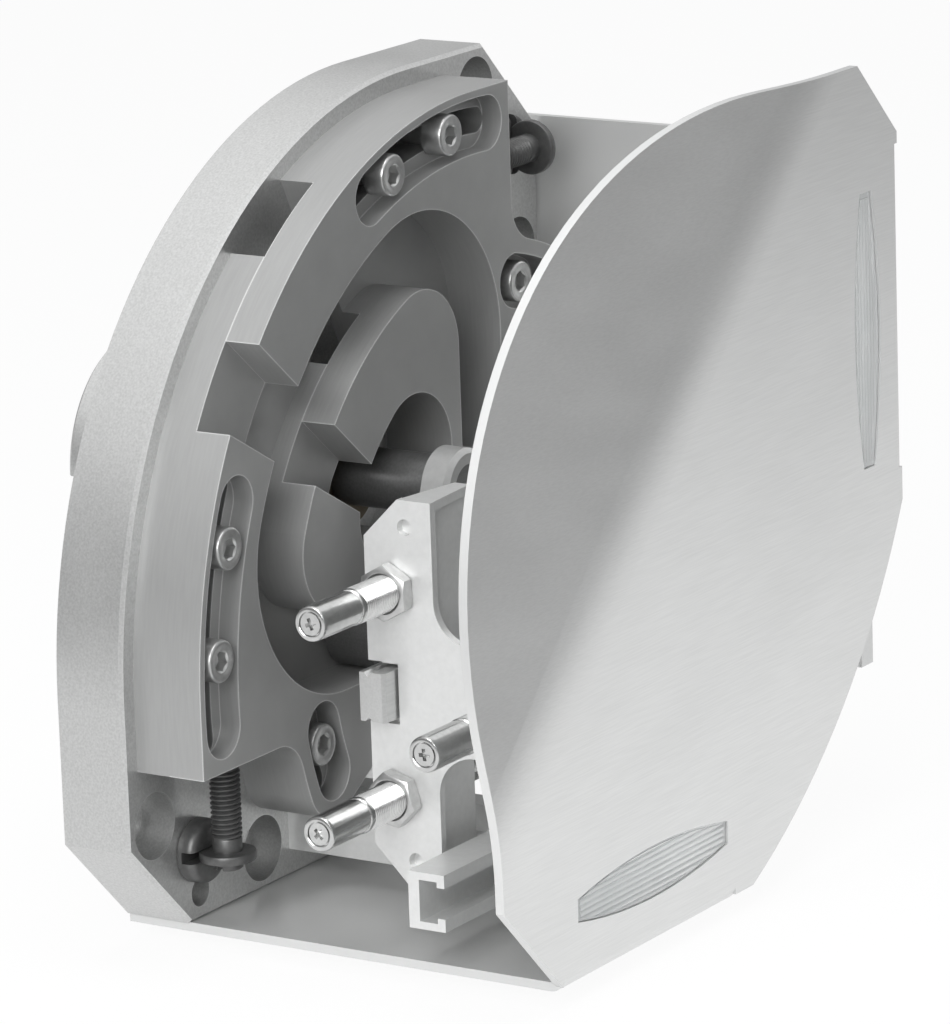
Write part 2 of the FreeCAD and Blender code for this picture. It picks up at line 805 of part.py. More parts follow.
def stop_studs():
    studs = []
    end = portal_x + portal_thickness + stud_nut_height
    for place in studs_at:
        head = pin_x(place, stud_diameter, stud_tip, portal_x)
        studs.append(merge(head, pin_x(place, stud_shank, portal_x, end)))
    return studs


def stud_nuts():
    face = portal_x + portal_thickness
    size = (stud_nut_flats, stud_shank, stud_nut_height)
    return [hex_nut(*size, at(face, f, z), TO_WORK) for f, z in studs_at]


# Linear slide
rail_screw_count = int((slide_x1 - slide_x0 - rail_screw_inset) // rail_hole_pitch) + 1
rail_screws_at = [slide_x0 + rail_screw_inset + rail_hole_pitch * k for k in range(rail_screw_count)]
follower_screws_at = [(follower_x + s * follower_screw_x, t * follower_screw_z)
                      for s in (-1, 1) for t in (-1, 1)]
slide_middle = rail_f1 + slide_thickness / 2
tail_screws_at = [(slide_middle, s * tail_screw_z) for s in (-1, 1)]
gripper_screws_at = [(slide_middle, s * gripper_screw_z) for s in (-1, 1)]
rail_head_depth = m2[2] + head_sink
tail_head_depth = m3[2] + head_sink
rail_screw_length = rail_height - rail_head_depth + slide_thickness - rail_screw_skin
follower_head_depth = m2[2] + head_sink
follower_screw_length = slide_thickness - follower_head_depth + follower_screw_grip
tail_screw_length = tail_block_length - tail_head_depth + slide_screw_grip
gripper_head_depth = m3[2] + head_sink
gripper_screw_length = gripper_thickness - gripper_head_depth + slide_screw_grip
slide_hole_depth = slide_screw_grip + tip_room


def guide_rail():
    half = rail_width / 2
    mid = (rail_f0 + carriage_front) / 2
    track = rail_track
    steps = [
        (rail_f0, -half), (mid - track, -half), (mid, -half + track), (mid + track, -half), (rail_f1, -half),
        (rail_f1, half), (mid + track, half), (mid, half - track), (mid - track, half), (rail_f0, half),
    ]
    body = side_prism(steps, rail_x0, rail_x1)
    tail_edge = [e for e in edges_at(body, rail_f1) if e.BoundBox.XMax < rail_x0 + fit_gap]
    body = body.makeChamfer(rail_bevel, tail_edge)
    cuts = [screw_hole(m2, rail_height, at(x, rail_f0 + rail_head_depth, 0), TO_REAR, rail_head_depth)
            for x in rail_screws_at]
    return body.cut(cuts)


def rail_screws():
    level = rail_f0 + rail_head_depth
    return [cap_screw(m2, rail_screw_length, at(x, level, 0), TO_REAR) for x in rail_screws_at]


def slide_plate():
    body = box(slide_x0, slide_x1, rail_f1, slide_front, -slide_half, slide_half)
    end = slide_front - rail_screw_skin + tip_room
    cuts = [pin_f((x, 0), m2[0] + 2 * fit_gap, rail_f1 - clear_cut, end) for x in rail_screws_at]
    for place in follower_screws_at:
        base = at(place[0], slide_front - follower_head_depth, place[1])
        cuts.append(screw_hole(m2, slide_thickness, base, TO_FRONT, follower_head_depth))
    for place in tail_screws_at:
        cuts.append(pin_x(place, m3[0] + 2 * fit_gap, slide_x0 - clear_cut, slide_x0 + slide_hole_depth))
    for place in gripper_screws_at:
        cuts.append(pin_x(place, m3[0] + 2 * fit_gap, slide_x1 - slide_hole_depth, slide_x1 + clear_cut))
    return body.cut(cuts)


def follower_block():
    """Saddle under the slide that carries the follower's pivot below the rail."""
    half = follower_block_half
    gap = rail_width / 2 + air_gap
    steps = [
        (block_f0, -half), (rail_f1, -half), (rail_f1, -gap), (rail_f0 - air_gap, -gap),
        (rail_f0 - air_gap, gap), (rail_f1, gap), (rail_f1, half), (block_f0, half),
    ]
    reach = follower_block_length / 2
    body = side_prism(steps, follower_x - reach, follower_x + reach)
    end = rail_f1 - follower_screw_grip - tip_room
    holes = [pin_f(p, m2[0] + 2 * fit_gap, end, rail_f1 + clear_cut) for p in follower_screws_at]
    return body.cut(holes)


def follower_screws():
    level = slide_front - follower_head_depth
    return [cap_screw(m2, follower_screw_length, at(p[0], level, p[1]), TO_FRONT) for p in follower_screws_at]


# Tail
absorbers_at = studs_at
tail_f0 = bracket_f0 + tail_block_inset
tail_half = bracket_half - sheet


def tail_block():
    """Cross bar behind the slide that the two outer absorbers are screwed through."""
    f1 = tail_f0 + tail_block_height
    cut = tail_block_chamfer
    gap = rail_width / 2 + air_gap
    steps = [
        (tail_f0, gap), (tail_f0, tail_half - cut), (tail_f0 + cut, tail_half), (f1, tail_half),
        (f1, -tail_half), (tail_f0 + cut, -tail_half), (tail_f0, -tail_half + cut), (tail_f0, -gap),
        (rail_f1, -gap), (rail_f1, gap),
    ]
    body = side_prism(steps, tail_x0, tail_x1)
    bore = absorber_thread + 2 * fit_gap
    cuts = [pin_x(p, bore, tail_x0 - clear_cut, tail_x1 + clear_cut) for p in absorbers_at[:2]]
    for place in tail_screws_at:
        base = at(tail_x0 + tail_head_depth, place[0], place[1])
        cuts.append(screw_hole(m3, tail_block_length, base, TO_TAIL, tail_head_depth))
    return body.cut(cuts)


def tail_screws():
    seat = tail_x0 + tail_head_depth
    return [cap_screw(m3, tail_screw_length, at(seat, f, z), TO_TAIL) for f, z in tail_screws_at]


def stop_bracket():
    """Bent sheet: a wide back with a notch for the rail, a tongue for the front absorber, two flanges."""
    notch = rail_width / 2 + notch_room
    notch_f = rail_f1 + air_gap
    low = bracket_half - bracket_chamfer
    knee = tongue_half + bracket_fillet
    lean = bracket_fillet * (1 - math.sqrt(0.5))
    root = bracket_f1 + bracket_fillet
    tip = tongue_reach - tongue_half
    upper = [
        (bracket_f0, notch), (bracket_f0, low), (bracket_f0 + bracket_chamfer, bracket_half),
        (bracket_f1, bracket_half), (bracket_f1, knee),
        ((bracket_f1 + lean, tongue_half + lean), (root, tongue_half)), (tip, tongue_half),
        ((tongue_reach, 0.0), (tip, -tongue_half)), (root, -tongue_half),
        ((bracket_f1 + lean, -tongue_half - lean), (bracket_f1, -knee)), (bracket_f1, -bracket_half),
        (bracket_f0 + bracket_chamfer, -bracket_half), (bracket_f0, -low), (bracket_f0, -notch),
        (notch_f, -notch), (notch_f, notch),
    ]
    back = side_prism(upper, bracket_x0, tail_x0)
    flange = [
        (bracket_x0, bracket_f0 + bracket_chamfer), (bracket_x0, bracket_f1),
        (bracket_x0 + flange_length, bracket_f1 - flange_taper / 2),
        (bracket_x0 + flange_length, bracket_f0 + bracket_chamfer + flange_taper),
    ]
    top = top_prism(flange, tail_half, bracket_half)
    bottom = top_prism(flange, -bracket_half, -tail_half)
    body = merge(back, top, bottom)
    bore = absorber_thread + 2 * fit_gap
    cuts = [pin_x(p, bore, bracket_x0 - clear_cut, tail_x0 + clear_cut) for p in absorbers_at]
    for side in (-1, 1):
        place = (bracket_hole_place[0], side * bracket_hole_place[1])
        cuts.append(pin_x(place, bracket_hole, bracket_x0 - clear_cut, tail_x0 + clear_cut))
    return body.cut(cuts)


def absorber(place):
    """Threaded body with a smooth rear sleeve, a cross recess and a bore for the rod."""
    sleeve_end = absorber_x0 + absorber_sleeve_length
    sleeve = pin_x(place, absorber_sleeve, absorber_x0, sleeve_end)
    thread = pin_x(place, absorber_thread, sleeve_end, absorber_x1)
    bottom = absorber_x1 - rod_inside - rod_stroke - rod_bore_room
    cuts = [pin_x(place, rod_diameter + 2 * running_gap, bottom, absorber_x1 + clear_cut)]
    for along_f, along_z in ((recess_length, recess_width), (recess_width, recess_length)):
        cuts.append(box(absorber_x0 - clear_cut, absorber_x0 + recess_depth, place[0] - along_f / 2,
                        place[0] + along_f / 2, place[1] - along_z / 2, place[1] + along_z / 2))
    return merge(sleeve, thread).cut(cuts)


def absorber_rod(place):
    return pin_x(place, rod_diameter, absorber_x1 - rod_inside, rod_tip)


def absorber_nuts():
    """One nut behind the bracket for each absorber, and a second one inside for the front one."""
    size = (m6_nut_flats, absorber_thread, m6_nut_height)
    nuts = [hex_nut(*size, at(bracket_x0, f, z), TO_TAIL) for f, z in absorbers_at]
    nuts.append(hex_nut(*size, at(tail_x0, *absorber_front), TO_WORK))
    return nuts


# Gripper plate
gripper_middle = (slide_front + gripper_reach) / 2
gripper_x1 = slide_x1 + gripper_thickness


def gripper_plate():
    body = box(slide_x1, gripper_x1, rail_f1, gripper_reach, -gripper_half, gripper_half)
    threads = [(gripper_middle + s * gripper_pattern_f / 2, t * gripper_pattern_z / 2)
               for s in (-1, 1) for t in (-1, 1)]
    cuts = [pin_x(p, gripper_hole, slide_x1 - clear_cut, gripper_x1 + clear_cut) for p in threads]
    for place in gripper_screws_at:
        base = at(gripper_x1 - gripper_head_depth, place[0], place[1])
        cuts.append(screw_hole(m3, gripper_thickness, base, TO_WORK, gripper_head_depth))
    return body.cut(cuts)


def gripper_screws():
    seat = gripper_x1 - gripper_head_depth
    return [cap_screw(m3, gripper_screw_length, at(seat, f, z), TO_WORK) for f, z in gripper_screws_at]


# Cam follower
follower = (follower_x, 0.0)
roller_f0 = groove_floor + roller_lift
roller_f1 = roller_f0 + roller_height
collar_f0 = roller_f1 + roller_room
rivet_f1 = roller_f0 - roller_room
rivet_f0 = rivet_f1 - rivet_thickness
stud_top = block_f0 - pivot_gap


def follower_stud():
    """Pin with a riveted foot under the roller and a collar over it."""
    foot = pin_f(follower, roller_bore + 2 * rivet_rim, rivet_f0, rivet_f1)
    pin = pin_f(follower, roller_bore, rivet_f0, stud_top)
    collar = pin_f(follower, follower_collar, collar_f0, collar_f0 + follower_collar_height)
    return merge(foot, pin, collar)


def slot_bush():
    start = collar_f0 + follower_collar_height
    return tube_f(follower, bush_diameter, roller_bore + 2 * fit_gap, start, stud_top - bush_end_room)


def cam_roller():
    outside = groove_width - 2 * roller_gap
    return tube_f(follower, outside, roller_bore + 2 * running_gap, roller_f0, roller_f1)


# Drive lever: a fork whose open slot takes the follower's bush
arm = (follower_x - drive[0], -drive[1])
arm_angle = math.degrees(math.atan2(arm[1], arm[0]))
slot_half = bush_diameter / 2 + lever_slot_room
slot_start_along = math.hypot(arm[0], arm[1]) - air_gap
grub_length = (lever_hub - journal_diameter) / 2


def along_arm(distance, across):
    """Point in (x, z) at a distance from the drive axis along the arm and across it."""
    step = offset(drive, distance, arm_angle)
    return offset(step, across, arm_angle + 90)


def drive_lever():
    root = lever_hub / 2
    arm_body = front_prism([
        along_arm(0, -root), along_arm(lever_taper, -lever_half), along_arm(lever_reach, -lever_half),
        along_arm(lever_reach, lever_half), along_arm(lever_taper, lever_half), along_arm(0, root),
    ], lever_f0, lever_f1)
    hub = pin_f(drive, lever_hub, lever_f0, lever_f1)
    foot = at(drive[0], lever_f1, drive[1])
    rim = Part.makeCone(root, root - lever_hub_edge, lever_hub_edge, foot, TO_FRONT)
    slot = front_prism([
        along_arm(slot_start_along, -slot_half), along_arm(lever_reach + clear_cut, -slot_half),
        along_arm(lever_reach + clear_cut, slot_half), along_arm(slot_start_along, slot_half),
        (along_arm(slot_start_along - slot_half, 0), along_arm(slot_start_along, -slot_half)),
    ], lever_f0 - clear_cut, lever_f1 + clear_cut)
    bore = pin_f(drive, journal_diameter + 2 * fit_gap, lever_f0 - clear_cut, hub_top + clear_cut)
    return merge(arm_body, hub, rim).cut([slot, bore, grub_body(fit_gap, clear_cut)])


def grub_body(room, overshoot):
    """Set screw in the hub, square to the arm."""
    side = along_arm(0, 1)
    outward = V(side[0] - drive[0], 0, side[1] - drive[1])
    start = along_arm(0, journal_diameter / 2 + fit_gap)
    base = at(start[0], lever_f0 + lever_thickness / 2, start[1])
    return Part.makeCylinder(grub_diameter / 2 + room, grub_length + overshoot, base, outward)


def lever_screw():
    return grub_body(0, -grub_inset)


def drive_shaft():
    """Shaft with a shoulder that the lever's hub stands on."""
    body = pin_f(drive, shaft_diameter, -plate_thickness - housing_shaft_depth, lever_f0)
    return merge(body, pin_f(drive, journal_diameter, lever_f0, hub_top))


def drive_bush():
    bore = shaft_diameter + 2 * running_gap
    body = tube_f(drive, shaft_diameter + 2 * bush_wall, bore, -plate_thickness, 0)
    flange = tube_f(drive, shaft_diameter + 2 * (bush_wall + bush_flange), bore, 0, bush_flange_height)
    return merge(body, flange)


def drive_housing():
    """Round swivel drive behind the plate, with a parting groove and two air ports in a flat."""
    body = pin_f(drive, housing_diameter, housing_rear, -plate_thickness)
    body = body.makeChamfer(housing_edge, edges_at(body, housing_rear))
    groove_f0 = housing_rear + housing_cap
    groove_f1 = groove_f0 + housing_groove
    inside = housing_diameter - 2 * housing_groove_depth
    cuts = [tube_f(drive, housing_diameter + clear_cut, inside, groove_f0, groove_f1)]
    face = drive[0] - port_flat
    cuts.append(box(face - housing_diameter, face, housing_rear - clear_cut, -plate_thickness + clear_cut,
                    drive[1] - housing_diameter, drive[1] + port_flat_top))
    middle = -plate_thickness - housing_length / 2
    for side in (-1, 1):
        place = (middle + side * port_spacing / 2, drive[1] - port_drop)
        cuts.append(pin_x(place, port_diameter, face - clear_cut, face + port_depth))
    bottom = -plate_thickness - housing_shaft_depth - housing_shaft_room
    cuts.append(pin_f(drive, shaft_diameter + 2 * running_gap, bottom, 0))
    for place in housing_screws_at:
        base = at(place[0], housing_rear + m4[2], place[1])
        cuts.append(screw_hole(m4, housing_length, base, TO_REAR, m4[2]))
    return body.cut(cuts)


def drive_screws():
    length = housing_length - m4[2] + housing_screw_grip - tip_room
    seat = housing_rear + m4[2]
    return [cap_screw(m4, length, at(p[0], seat, p[1]), TO_REAR) for p in housing_screws_at]


# Sensor rails and supports
def sensor_rail():
    """Lower C profile, open towards the cover."""
    z0 = sensor_rail_z - sensor_rail_width / 2
    z1 = sensor_rail_z + sensor_rail_width / 2
    f1 = sensor_rail_f + sensor_rail_depth
    web = sensor_rail_f + sensor_web
    lip = f1 - sensor_lip_thickness
    low = z0 + sensor_flange
    high = z1 - sensor_flange
    steps = [
        (sensor_rail_f, z0), (f1, z0), (f1, low + sensor_lip), (lip, low + sensor_lip),
        (lip, low), (web, low), (web, high), (lip, high),
        (lip, high - sensor_lip), (f1, high - sensor_lip), (f1, z1), (sensor_rail_f, z1),
    ]
    body = side_prism(steps, sensor_rail_x0, sensor_rail_x1)
    hole = m2[0] + 2 * fit_gap
    places = [(x + support_width / 2, support_screw_z) for x in support_xs]
    return body.cut([pin_f(p, hole, sensor_rail_f - clear_cut, web + clear_cut) for p in places])


def rail_supports():
    bars = []
    for x in support_xs:
        bar = box(x, x + support_width, 0, sensor_rail_f, support_z, support_z + support_depth)
        place = (x + support_width / 2, support_z + support_depth / 2)
        foot = pin_f(place, m3[0] + 2 * fit_gap, -clear_cut, support_screw_grip + tip_room)
        end = sensor_rail_f - sensor_screw_grip - tip_room
        top = pin_f((place[0], support_screw_z), m2[0] + 2 * fit_gap, end, sensor_rail_f + clear_cut)
        bars.append(bar.cut([foot, top]))
    return bars + [twin(b) for b in bars]


def support_screws():
    length = plate_thickness - support_head_depth + support_screw_grip
    level = support_head_depth - plate_thickness
    return [cap_screw(m3, length, at(p[0], level, p[1]), TO_REAR) for p in support_places]


def sensor_rail_screws():
    size = (m2[0], sensor_screw_head, m2[2], m2[3])
    length = sensor_web + sensor_screw_grip
    level = sensor_rail_f + sensor_web
    screws = []
    for x in support_xs:
        base = at(x + support_width / 2, level, support_screw_z)
        screws.append(cap_screw(size, length, base, TO_FRONT))
    return screws + [twin(s) for s in screws]


# Cover
def cover_wall(stop):
    """Right wall with its bend, as one L section along Z."""
    outer = wall_outer
    inner_bend = cover_bend - sheet
    c_x = outer - cover_bend
    c_f = cover_front - cover_bend
    lean = cover_bend * math.sqrt(0.5)
    inner_lean = inner_bend * math.sqrt(0.5)
    steps = [
        (plate_reach, -plate_thickness), (outer, -plate_thickness), (outer, c_f),
        ((c_x + lean, c_f + lean), (c_x, cover_front)), (c_x - clear_cut, cover_front),
        (c_x - clear_cut, cover_front - sheet), (c_x, cover_front - sheet),
        ((c_x + inner_lean, c_f + inner_lean), (plate_reach, c_f)),
    ]
    return top_prism(steps, wall_start, stop)


def cover_face():
    """Front sheet: flat at the inner corner, folded back across the diagonal."""
    outer = fold_radius
    turn = math.radians(fold_angle)
    base = cover_front - outer
    reach = plate_radius + cover_reach

    def on_fold(radius, angle):
        return (fold_start + radius * math.sin(angle), base + radius * math.cos(angle))

    def past_fold(radius):
        start = on_fold(radius, turn)
        run = reach - start[0]
        return (reach, start[1] - run * math.tan(turn))

    inner = outer - sheet
    steps = [
        (-reach, cover_front), (fold_start, cover_front), (on_fold(outer, turn / 2), on_fold(outer, turn)),
        past_fold(outer), past_fold(inner), on_fold(inner, turn),
        (on_fold(inner, turn / 2), (fold_start, cover_front - sheet)), (-reach, cover_front - sheet),
    ]
    along = math.sqrt(0.5)

    def lift(p):
        return at(-p[0] * along - reach * along, p[1], p[0] * along - reach * along)

    sheet_body = outline(steps, lift).extrude(V(2 * reach * along, 0, 2 * reach * along))
    edge = module_outline(cover_reach, cover_chamfer, cover_cut)
    return sheet_body.common(front_prism(edge, 0, cover_front + clear_cut))


def window_outline(room):
    """Lens outline with cut ends, grown by room on every side."""
    x0 = window_centre - window_length / 2 - room
    x1 = window_centre + window_length / 2 + room
    end = window_end_half + room
    half = window_half + room
    return [
        (x0, window_z - end),
        ((window_centre, window_z - half), (x1, window_z - end)),
        (x1, window_z + end),
        ((window_centre, window_z + half), (x0, window_z + end)),
    ]


def cover():
    bend_x = wall_outer - cover_bend

    def room_for_wall(stop):
        return box(bend_x, cover_reach + clear_cut, 0, cover_front + clear_cut, wall_start, stop)

    face = cover_face().cut([room_for_wall(upright_stop), twin(room_for_wall(bottom_stop))])
    body = merge(face, cover_wall(upright_stop), twin(cover_wall(bottom_stop)))
    slot = front_prism(window_outline(0), 0, cover_front + clear_cut)
    cuts = [slot, twin(slot)]
    for spot in cover_screw_spots():
        hole = screw_hole(cover_screw_head, sheet, spot, TO_WORK)
        cuts += [hole, twin(hole)]
    return body.cut(cuts)


def cover_screws():
    length = sheet + cover_screw_depth - tip_room
    screws = [cap_screw(cover_screw_head, length, s, TO_WORK) for s in cover_screw_spots()]
    return screws + [twin(s) for s in screws]


def window():
    """Clear insert: flush in the cover's slot, with a lip behind the sheet."""
    back = cover_front - sheet
    lens = front_prism(window_outline(-window_fit), back, cover_front)
    lip = front_prism(window_outline(window_lip), back - window_lip_thickness, back)
    return merge(lens, lip)


# Nodes fixed to the base plate
save("base_plate", base_plate())
save("cam_upper", cam_plate(upper_rear_end, upper_front_end))
save("cam_lower", twin(cam_plate(lower_rear_end, lower_front_end)))
save("cam_screws", *cam_screws())
save("adjusting_posts", adjusting_post(), twin(adjusting_post()))
save("adjusting_screws", adjusting_screw(), twin(adjusting_screw()))
save("bearing_carrier", bearing_carrier())
save("carrier_screws", *carrier_screws())
save("bearing_outer_rings", *bearing_rings(bearing_outside, ring_split + 2 * running_gap))
save("bearing_cap", bearing_cap())
save("drive_bush", drive_bush())
save("drive_housing", drive_housing())
save("drive_screws", *drive_screws())
save("sensor_rail_lower", sensor_rail())
save("sensor_rail_upper", twin(sensor_rail()))
save("rail_supports", *rail_supports())
save("support_screws", *support_screws())
save("sensor_rail_screws", *sensor_rail_screws())
save("cover", cover())
save("cover_screws", *cover_screws())
save("window_lower", window())
save("window_upper", twin(window()))

# Nodes that swivel
save("swivel_hub", swivel_hub())
save("bearing_inner_rings", *bearing_rings(ring_split, bearing_bore))
save("retaining_ring", retaining_ring())
save("guide_carriage", guide_carriage())
save("carriage_caps", *carriage_caps())
save("carriage_screws", *carriage_screws())
save("stop_portal", stop_portal())
save("portal_screws", *portal_screws())
save("stop_studs", *stop_studs())
save("stud_nuts", *stud_nuts())

# Nodes that slide
save("slide_plate", slide_plate())
save("guide_rail", guide_rail())
save("guide_rail_screws", *rail_screws())
save("follower_block", follower_block())
save("follower_screws", *follower_screws())
save("tail_block", tail_block())
save("tail_screws", *tail_screws())
save("stop_bracket", stop_bracket())
save("absorber_upper", absorber(absorbers_at[0]))
save("absorber_lower", absorber(absorbers_at[1]))
save("absorber_front", absorber(absorbers_at[2]))
save("absorber_nuts", *absorber_nuts())
save("gripper_plate", gripper_plate())
save("gripper_screws", *gripper_screws())

# Absorber rods, cam follower and drive lever
save("rod_upper", absorber_rod(absorbers_at[0]))
save("rod_lower", absorber_rod(absorbers_at[1]))
save("rod_front", absorber_rod(absorbers_at[2]))
save("follower_stud", follower_stud())
save("slot_bush", slot_bush())
save("cam_roller", cam_roller())
save("drive_shaft", drive_shaft())
save("drive_lever", drive_lever())
save("lever_screw", lever_screw())
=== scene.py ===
# %% [markdown]
# # A handling module, dressed for its portrait
# The machine is a quarter-disc base plate with two cam plates bolted to it, a slide that swings
# a quarter turn in front of them, and a folded sheet cover. The CAD model gives every piece its
# place and size in metres. This lesson gives the pieces their finishes, and remodels the few that
# need more than a plain solid: absorbers, nuts, adjusters, posts, cap screws and windows.

# %% Load the frame
import bpy
import math
from mathutils import Matrix, Vector


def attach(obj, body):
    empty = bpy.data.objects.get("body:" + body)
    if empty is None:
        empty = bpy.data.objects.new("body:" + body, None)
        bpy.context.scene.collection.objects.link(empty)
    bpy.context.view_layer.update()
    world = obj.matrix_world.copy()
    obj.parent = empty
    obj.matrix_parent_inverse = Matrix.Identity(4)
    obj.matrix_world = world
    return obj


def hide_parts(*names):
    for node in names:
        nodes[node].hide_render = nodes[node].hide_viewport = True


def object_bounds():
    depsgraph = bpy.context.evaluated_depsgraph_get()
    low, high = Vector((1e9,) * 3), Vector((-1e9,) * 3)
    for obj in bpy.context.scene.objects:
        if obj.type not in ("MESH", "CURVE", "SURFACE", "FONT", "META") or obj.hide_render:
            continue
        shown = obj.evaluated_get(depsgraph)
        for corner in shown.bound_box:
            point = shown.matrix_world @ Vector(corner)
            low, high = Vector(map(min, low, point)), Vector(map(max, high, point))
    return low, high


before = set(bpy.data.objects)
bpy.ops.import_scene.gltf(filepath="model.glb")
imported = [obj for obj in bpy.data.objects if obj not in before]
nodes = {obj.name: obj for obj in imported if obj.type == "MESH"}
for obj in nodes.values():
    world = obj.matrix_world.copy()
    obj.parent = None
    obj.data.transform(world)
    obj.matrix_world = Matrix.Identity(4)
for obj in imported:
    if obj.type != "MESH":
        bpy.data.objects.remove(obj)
cad_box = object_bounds()
scene = bpy.context.scene
scene.view_settings.view_transform = "Standard"
MM = 0.001
print("nodes:", len(nodes), "box:", cad_box)

# %% [markdown]
# ## The camera
# The photograph was taken with a long lens from the front left, a little above the machine.
# The focal length is known in pixels of a 950 pixel wide picture, so the lens follows from the
# sensor's width. The camera's axes are written as a matrix, because the picture leans by two
# degrees.

# %% Camera
picture_width = 950
focal_pixels = 6106.43
view_azimuth = math.radians(-57.279)
view_elevation = math.radians(13.914)
view_roll = math.radians(-1.948)
view_distance = 977.02 * MM
view_target = Vector((-37.876 * MM, -47.5 * MM, 24.196 * MM))

back = Vector((math.sin(view_azimuth) * math.cos(view_elevation),
               -math.cos(view_azimuth) * math.cos(view_elevation),
               math.sin(view_elevation)))
level_right = Vector((math.cos(view_azimuth), math.sin(view_azimuth), 0))
level_up = back.cross(level_right)
right = math.cos(view_roll) * level_right + math.sin(view_roll) * level_up
up = math.cos(view_roll) * level_up - math.sin(view_roll) * level_right

lens_data = bpy.data.cameras.new("portrait_lens")
lens_data.sensor_width = 36.0
lens_data.sensor_fit = "HORIZONTAL"
lens_data.lens = focal_pixels * lens_data.sensor_width / picture_width
lens_data.clip_start = 0.05
camera = bpy.data.objects.new("portrait_camera", lens_data)
scene.collection.objects.link(camera)
pose = Matrix((right, up, back)).transposed().to_4x4()
pose.translation = view_target + view_distance * back
camera.matrix_world = pose
scene.camera = camera
print("lens in millimetres:", round(lens_data.lens, 1))

# %% [markdown]
# ## Studio light
# The picture has a white ground and soft light. The world is white to the camera and dimmer as a
# lamp, so the ground is white without more light on the machine. What a metal mirrors is what
# makes its look: here a white table below, a white ceiling above, and between them a greyer room.
# So the flat part of the cover, which mirrors the table, is bright, and the folded part, which
# mirrors the room, is darker.

# %% What each kind of ray sees
def math_node(tree, operation):
    """New node that works one operation on numbers."""
    node = tree.nodes.new("ShaderNodeMath")
    node.operation = operation
    return node


def ramp(tree, span, tones=(0.0, 1.0)):
    """New node that maps a span of values onto a span of tones."""
    node = tree.nodes.new("ShaderNodeMapRange")
    for end, value in zip(("From Min", "From Max", "To Min", "To Max"), (*span, *tones)):
        node.inputs[end].default_value = value
    return node


def ray_mask(tree):
    """One where a ray comes straight from the camera or from a mirror or glass surface."""
    path = tree.nodes.new("ShaderNodeLightPath")
    mask = path.outputs["Is Camera Ray"]
    for kind in ("Is Glossy Ray", "Is Transmission Ray"):
        either = math_node(tree, "MAXIMUM")
        tree.links.new(mask, either.inputs[0])
        tree.links.new(path.outputs[kind], either.inputs[1])
        mask = either.outputs[0]
    return mask


def mirror_tone(tree, measure, span, tones):
    """White to the camera. To mirrors, a grey that changes over a span of a measure."""
    tone = ramp(tree, span, tones)
    path = tree.nodes.new("ShaderNodeLightPath")
    colour = tree.nodes.new("ShaderNodeMix")
    colour.data_type = "RGBA"
    colour.inputs["A"].default_value = (1, 1, 1, 1)
    tree.links.new(measure, tone.inputs["Value"])
    tree.links.new(path.outputs["Is Glossy Ray"], colour.inputs["Factor"])
    tree.links.new(tone.outputs["Result"], colour.inputs["B"])
    return colour.outputs["Result"]


# %% World
horizon_span = (0.12, 0.6)  # how far a ray points upwards, where straight up is one
room_to_ceiling = (0.2, 1.0)
fill_colour = (0.97, 0.985, 1, 1)
fill_strength = 0.42

world = bpy.data.worlds.new("white_studio")
scene.world = world
world.use_nodes = True
sky = world.node_tree
sky.nodes.clear()
seen = sky.nodes.new("ShaderNodeBackground")
seen.inputs["Strength"].default_value = 1.0
sky_place = sky.nodes.new("ShaderNodeTexCoord")
sky_axes = sky.nodes.new("ShaderNodeSeparateXYZ")
sky_tone = mirror_tone(sky, sky_axes.outputs["Z"], horizon_span, room_to_ceiling)
fill = sky.nodes.new("ShaderNodeBackground")
fill.inputs["Color"].default_value = fill_colour
fill.inputs["Strength"].default_value = fill_strength
choice = sky.nodes.new("ShaderNodeMixShader")
sky_out = sky.nodes.new("ShaderNodeOutputWorld")
sky.links.new(sky_place.outputs["Generated"], sky_axes.inputs["Vector"])
sky.links.new(sky_tone, seen.inputs["Color"])
sky.links.new(ray_mask(sky), choice.inputs["Fac"])
sky.links.new(fill.outputs[0], choice.inputs[1])
sky.links.new(seen.outputs[0], choice.inputs[2])
sky.links.new(choice.outputs[0], sky_out.inputs["Surface"])
print("world:", world.name)

# %% [markdown]
# One lamp stands to the front left, where it lights the edges, the sides of the cams and the inside
# but only grazes the cover's face. A second hangs above.

# %% Lamps
def softbox(name, place, aim, size, power):
    """Large square lamp at a place, turned towards a point, in metres and watts."""
    data = bpy.data.lights.new(name, "AREA")
    data.size = size
    data.energy = power
    lamp = bpy.data.objects.new(name, data)
    scene.collection.objects.link(lamp)
    lamp.location = place
    lamp.rotation_euler = (Vector(aim) - Vector(place)).to_track_quat("-Z", "Y").to_euler()
    print("lamp:", name)


softbox("left_softbox", (-0.78, -0.25, 0.36), aim=(-0.04, -0.04, 0.0), size=0.5, power=4.9)
softbox("top_softbox", (-0.15, -0.12, 0.9), aim=(-0.02, -0.04, 0.0), size=0.6, power=4.4)

# %% [markdown]
# ## The floor
# A wide plane lies just under the lowest point of the machine. It is a pale diffuse surface that
# the camera sees mostly as plain white, so that only a faint contact shadow is left. To mirrors it
# gets darker with the distance, as a lit table does.

# %% Floor
floor_side = 8.0
floor_gap = 0.0005
floor_grey = (0.9, 0.9, 0.9, 1)
table_span = (0.15, 1.1)  # metres from the middle of the floor
near_to_far = (1.0, 0.3)
plain_share = 0.93  # how much of the floor is plain white to the camera

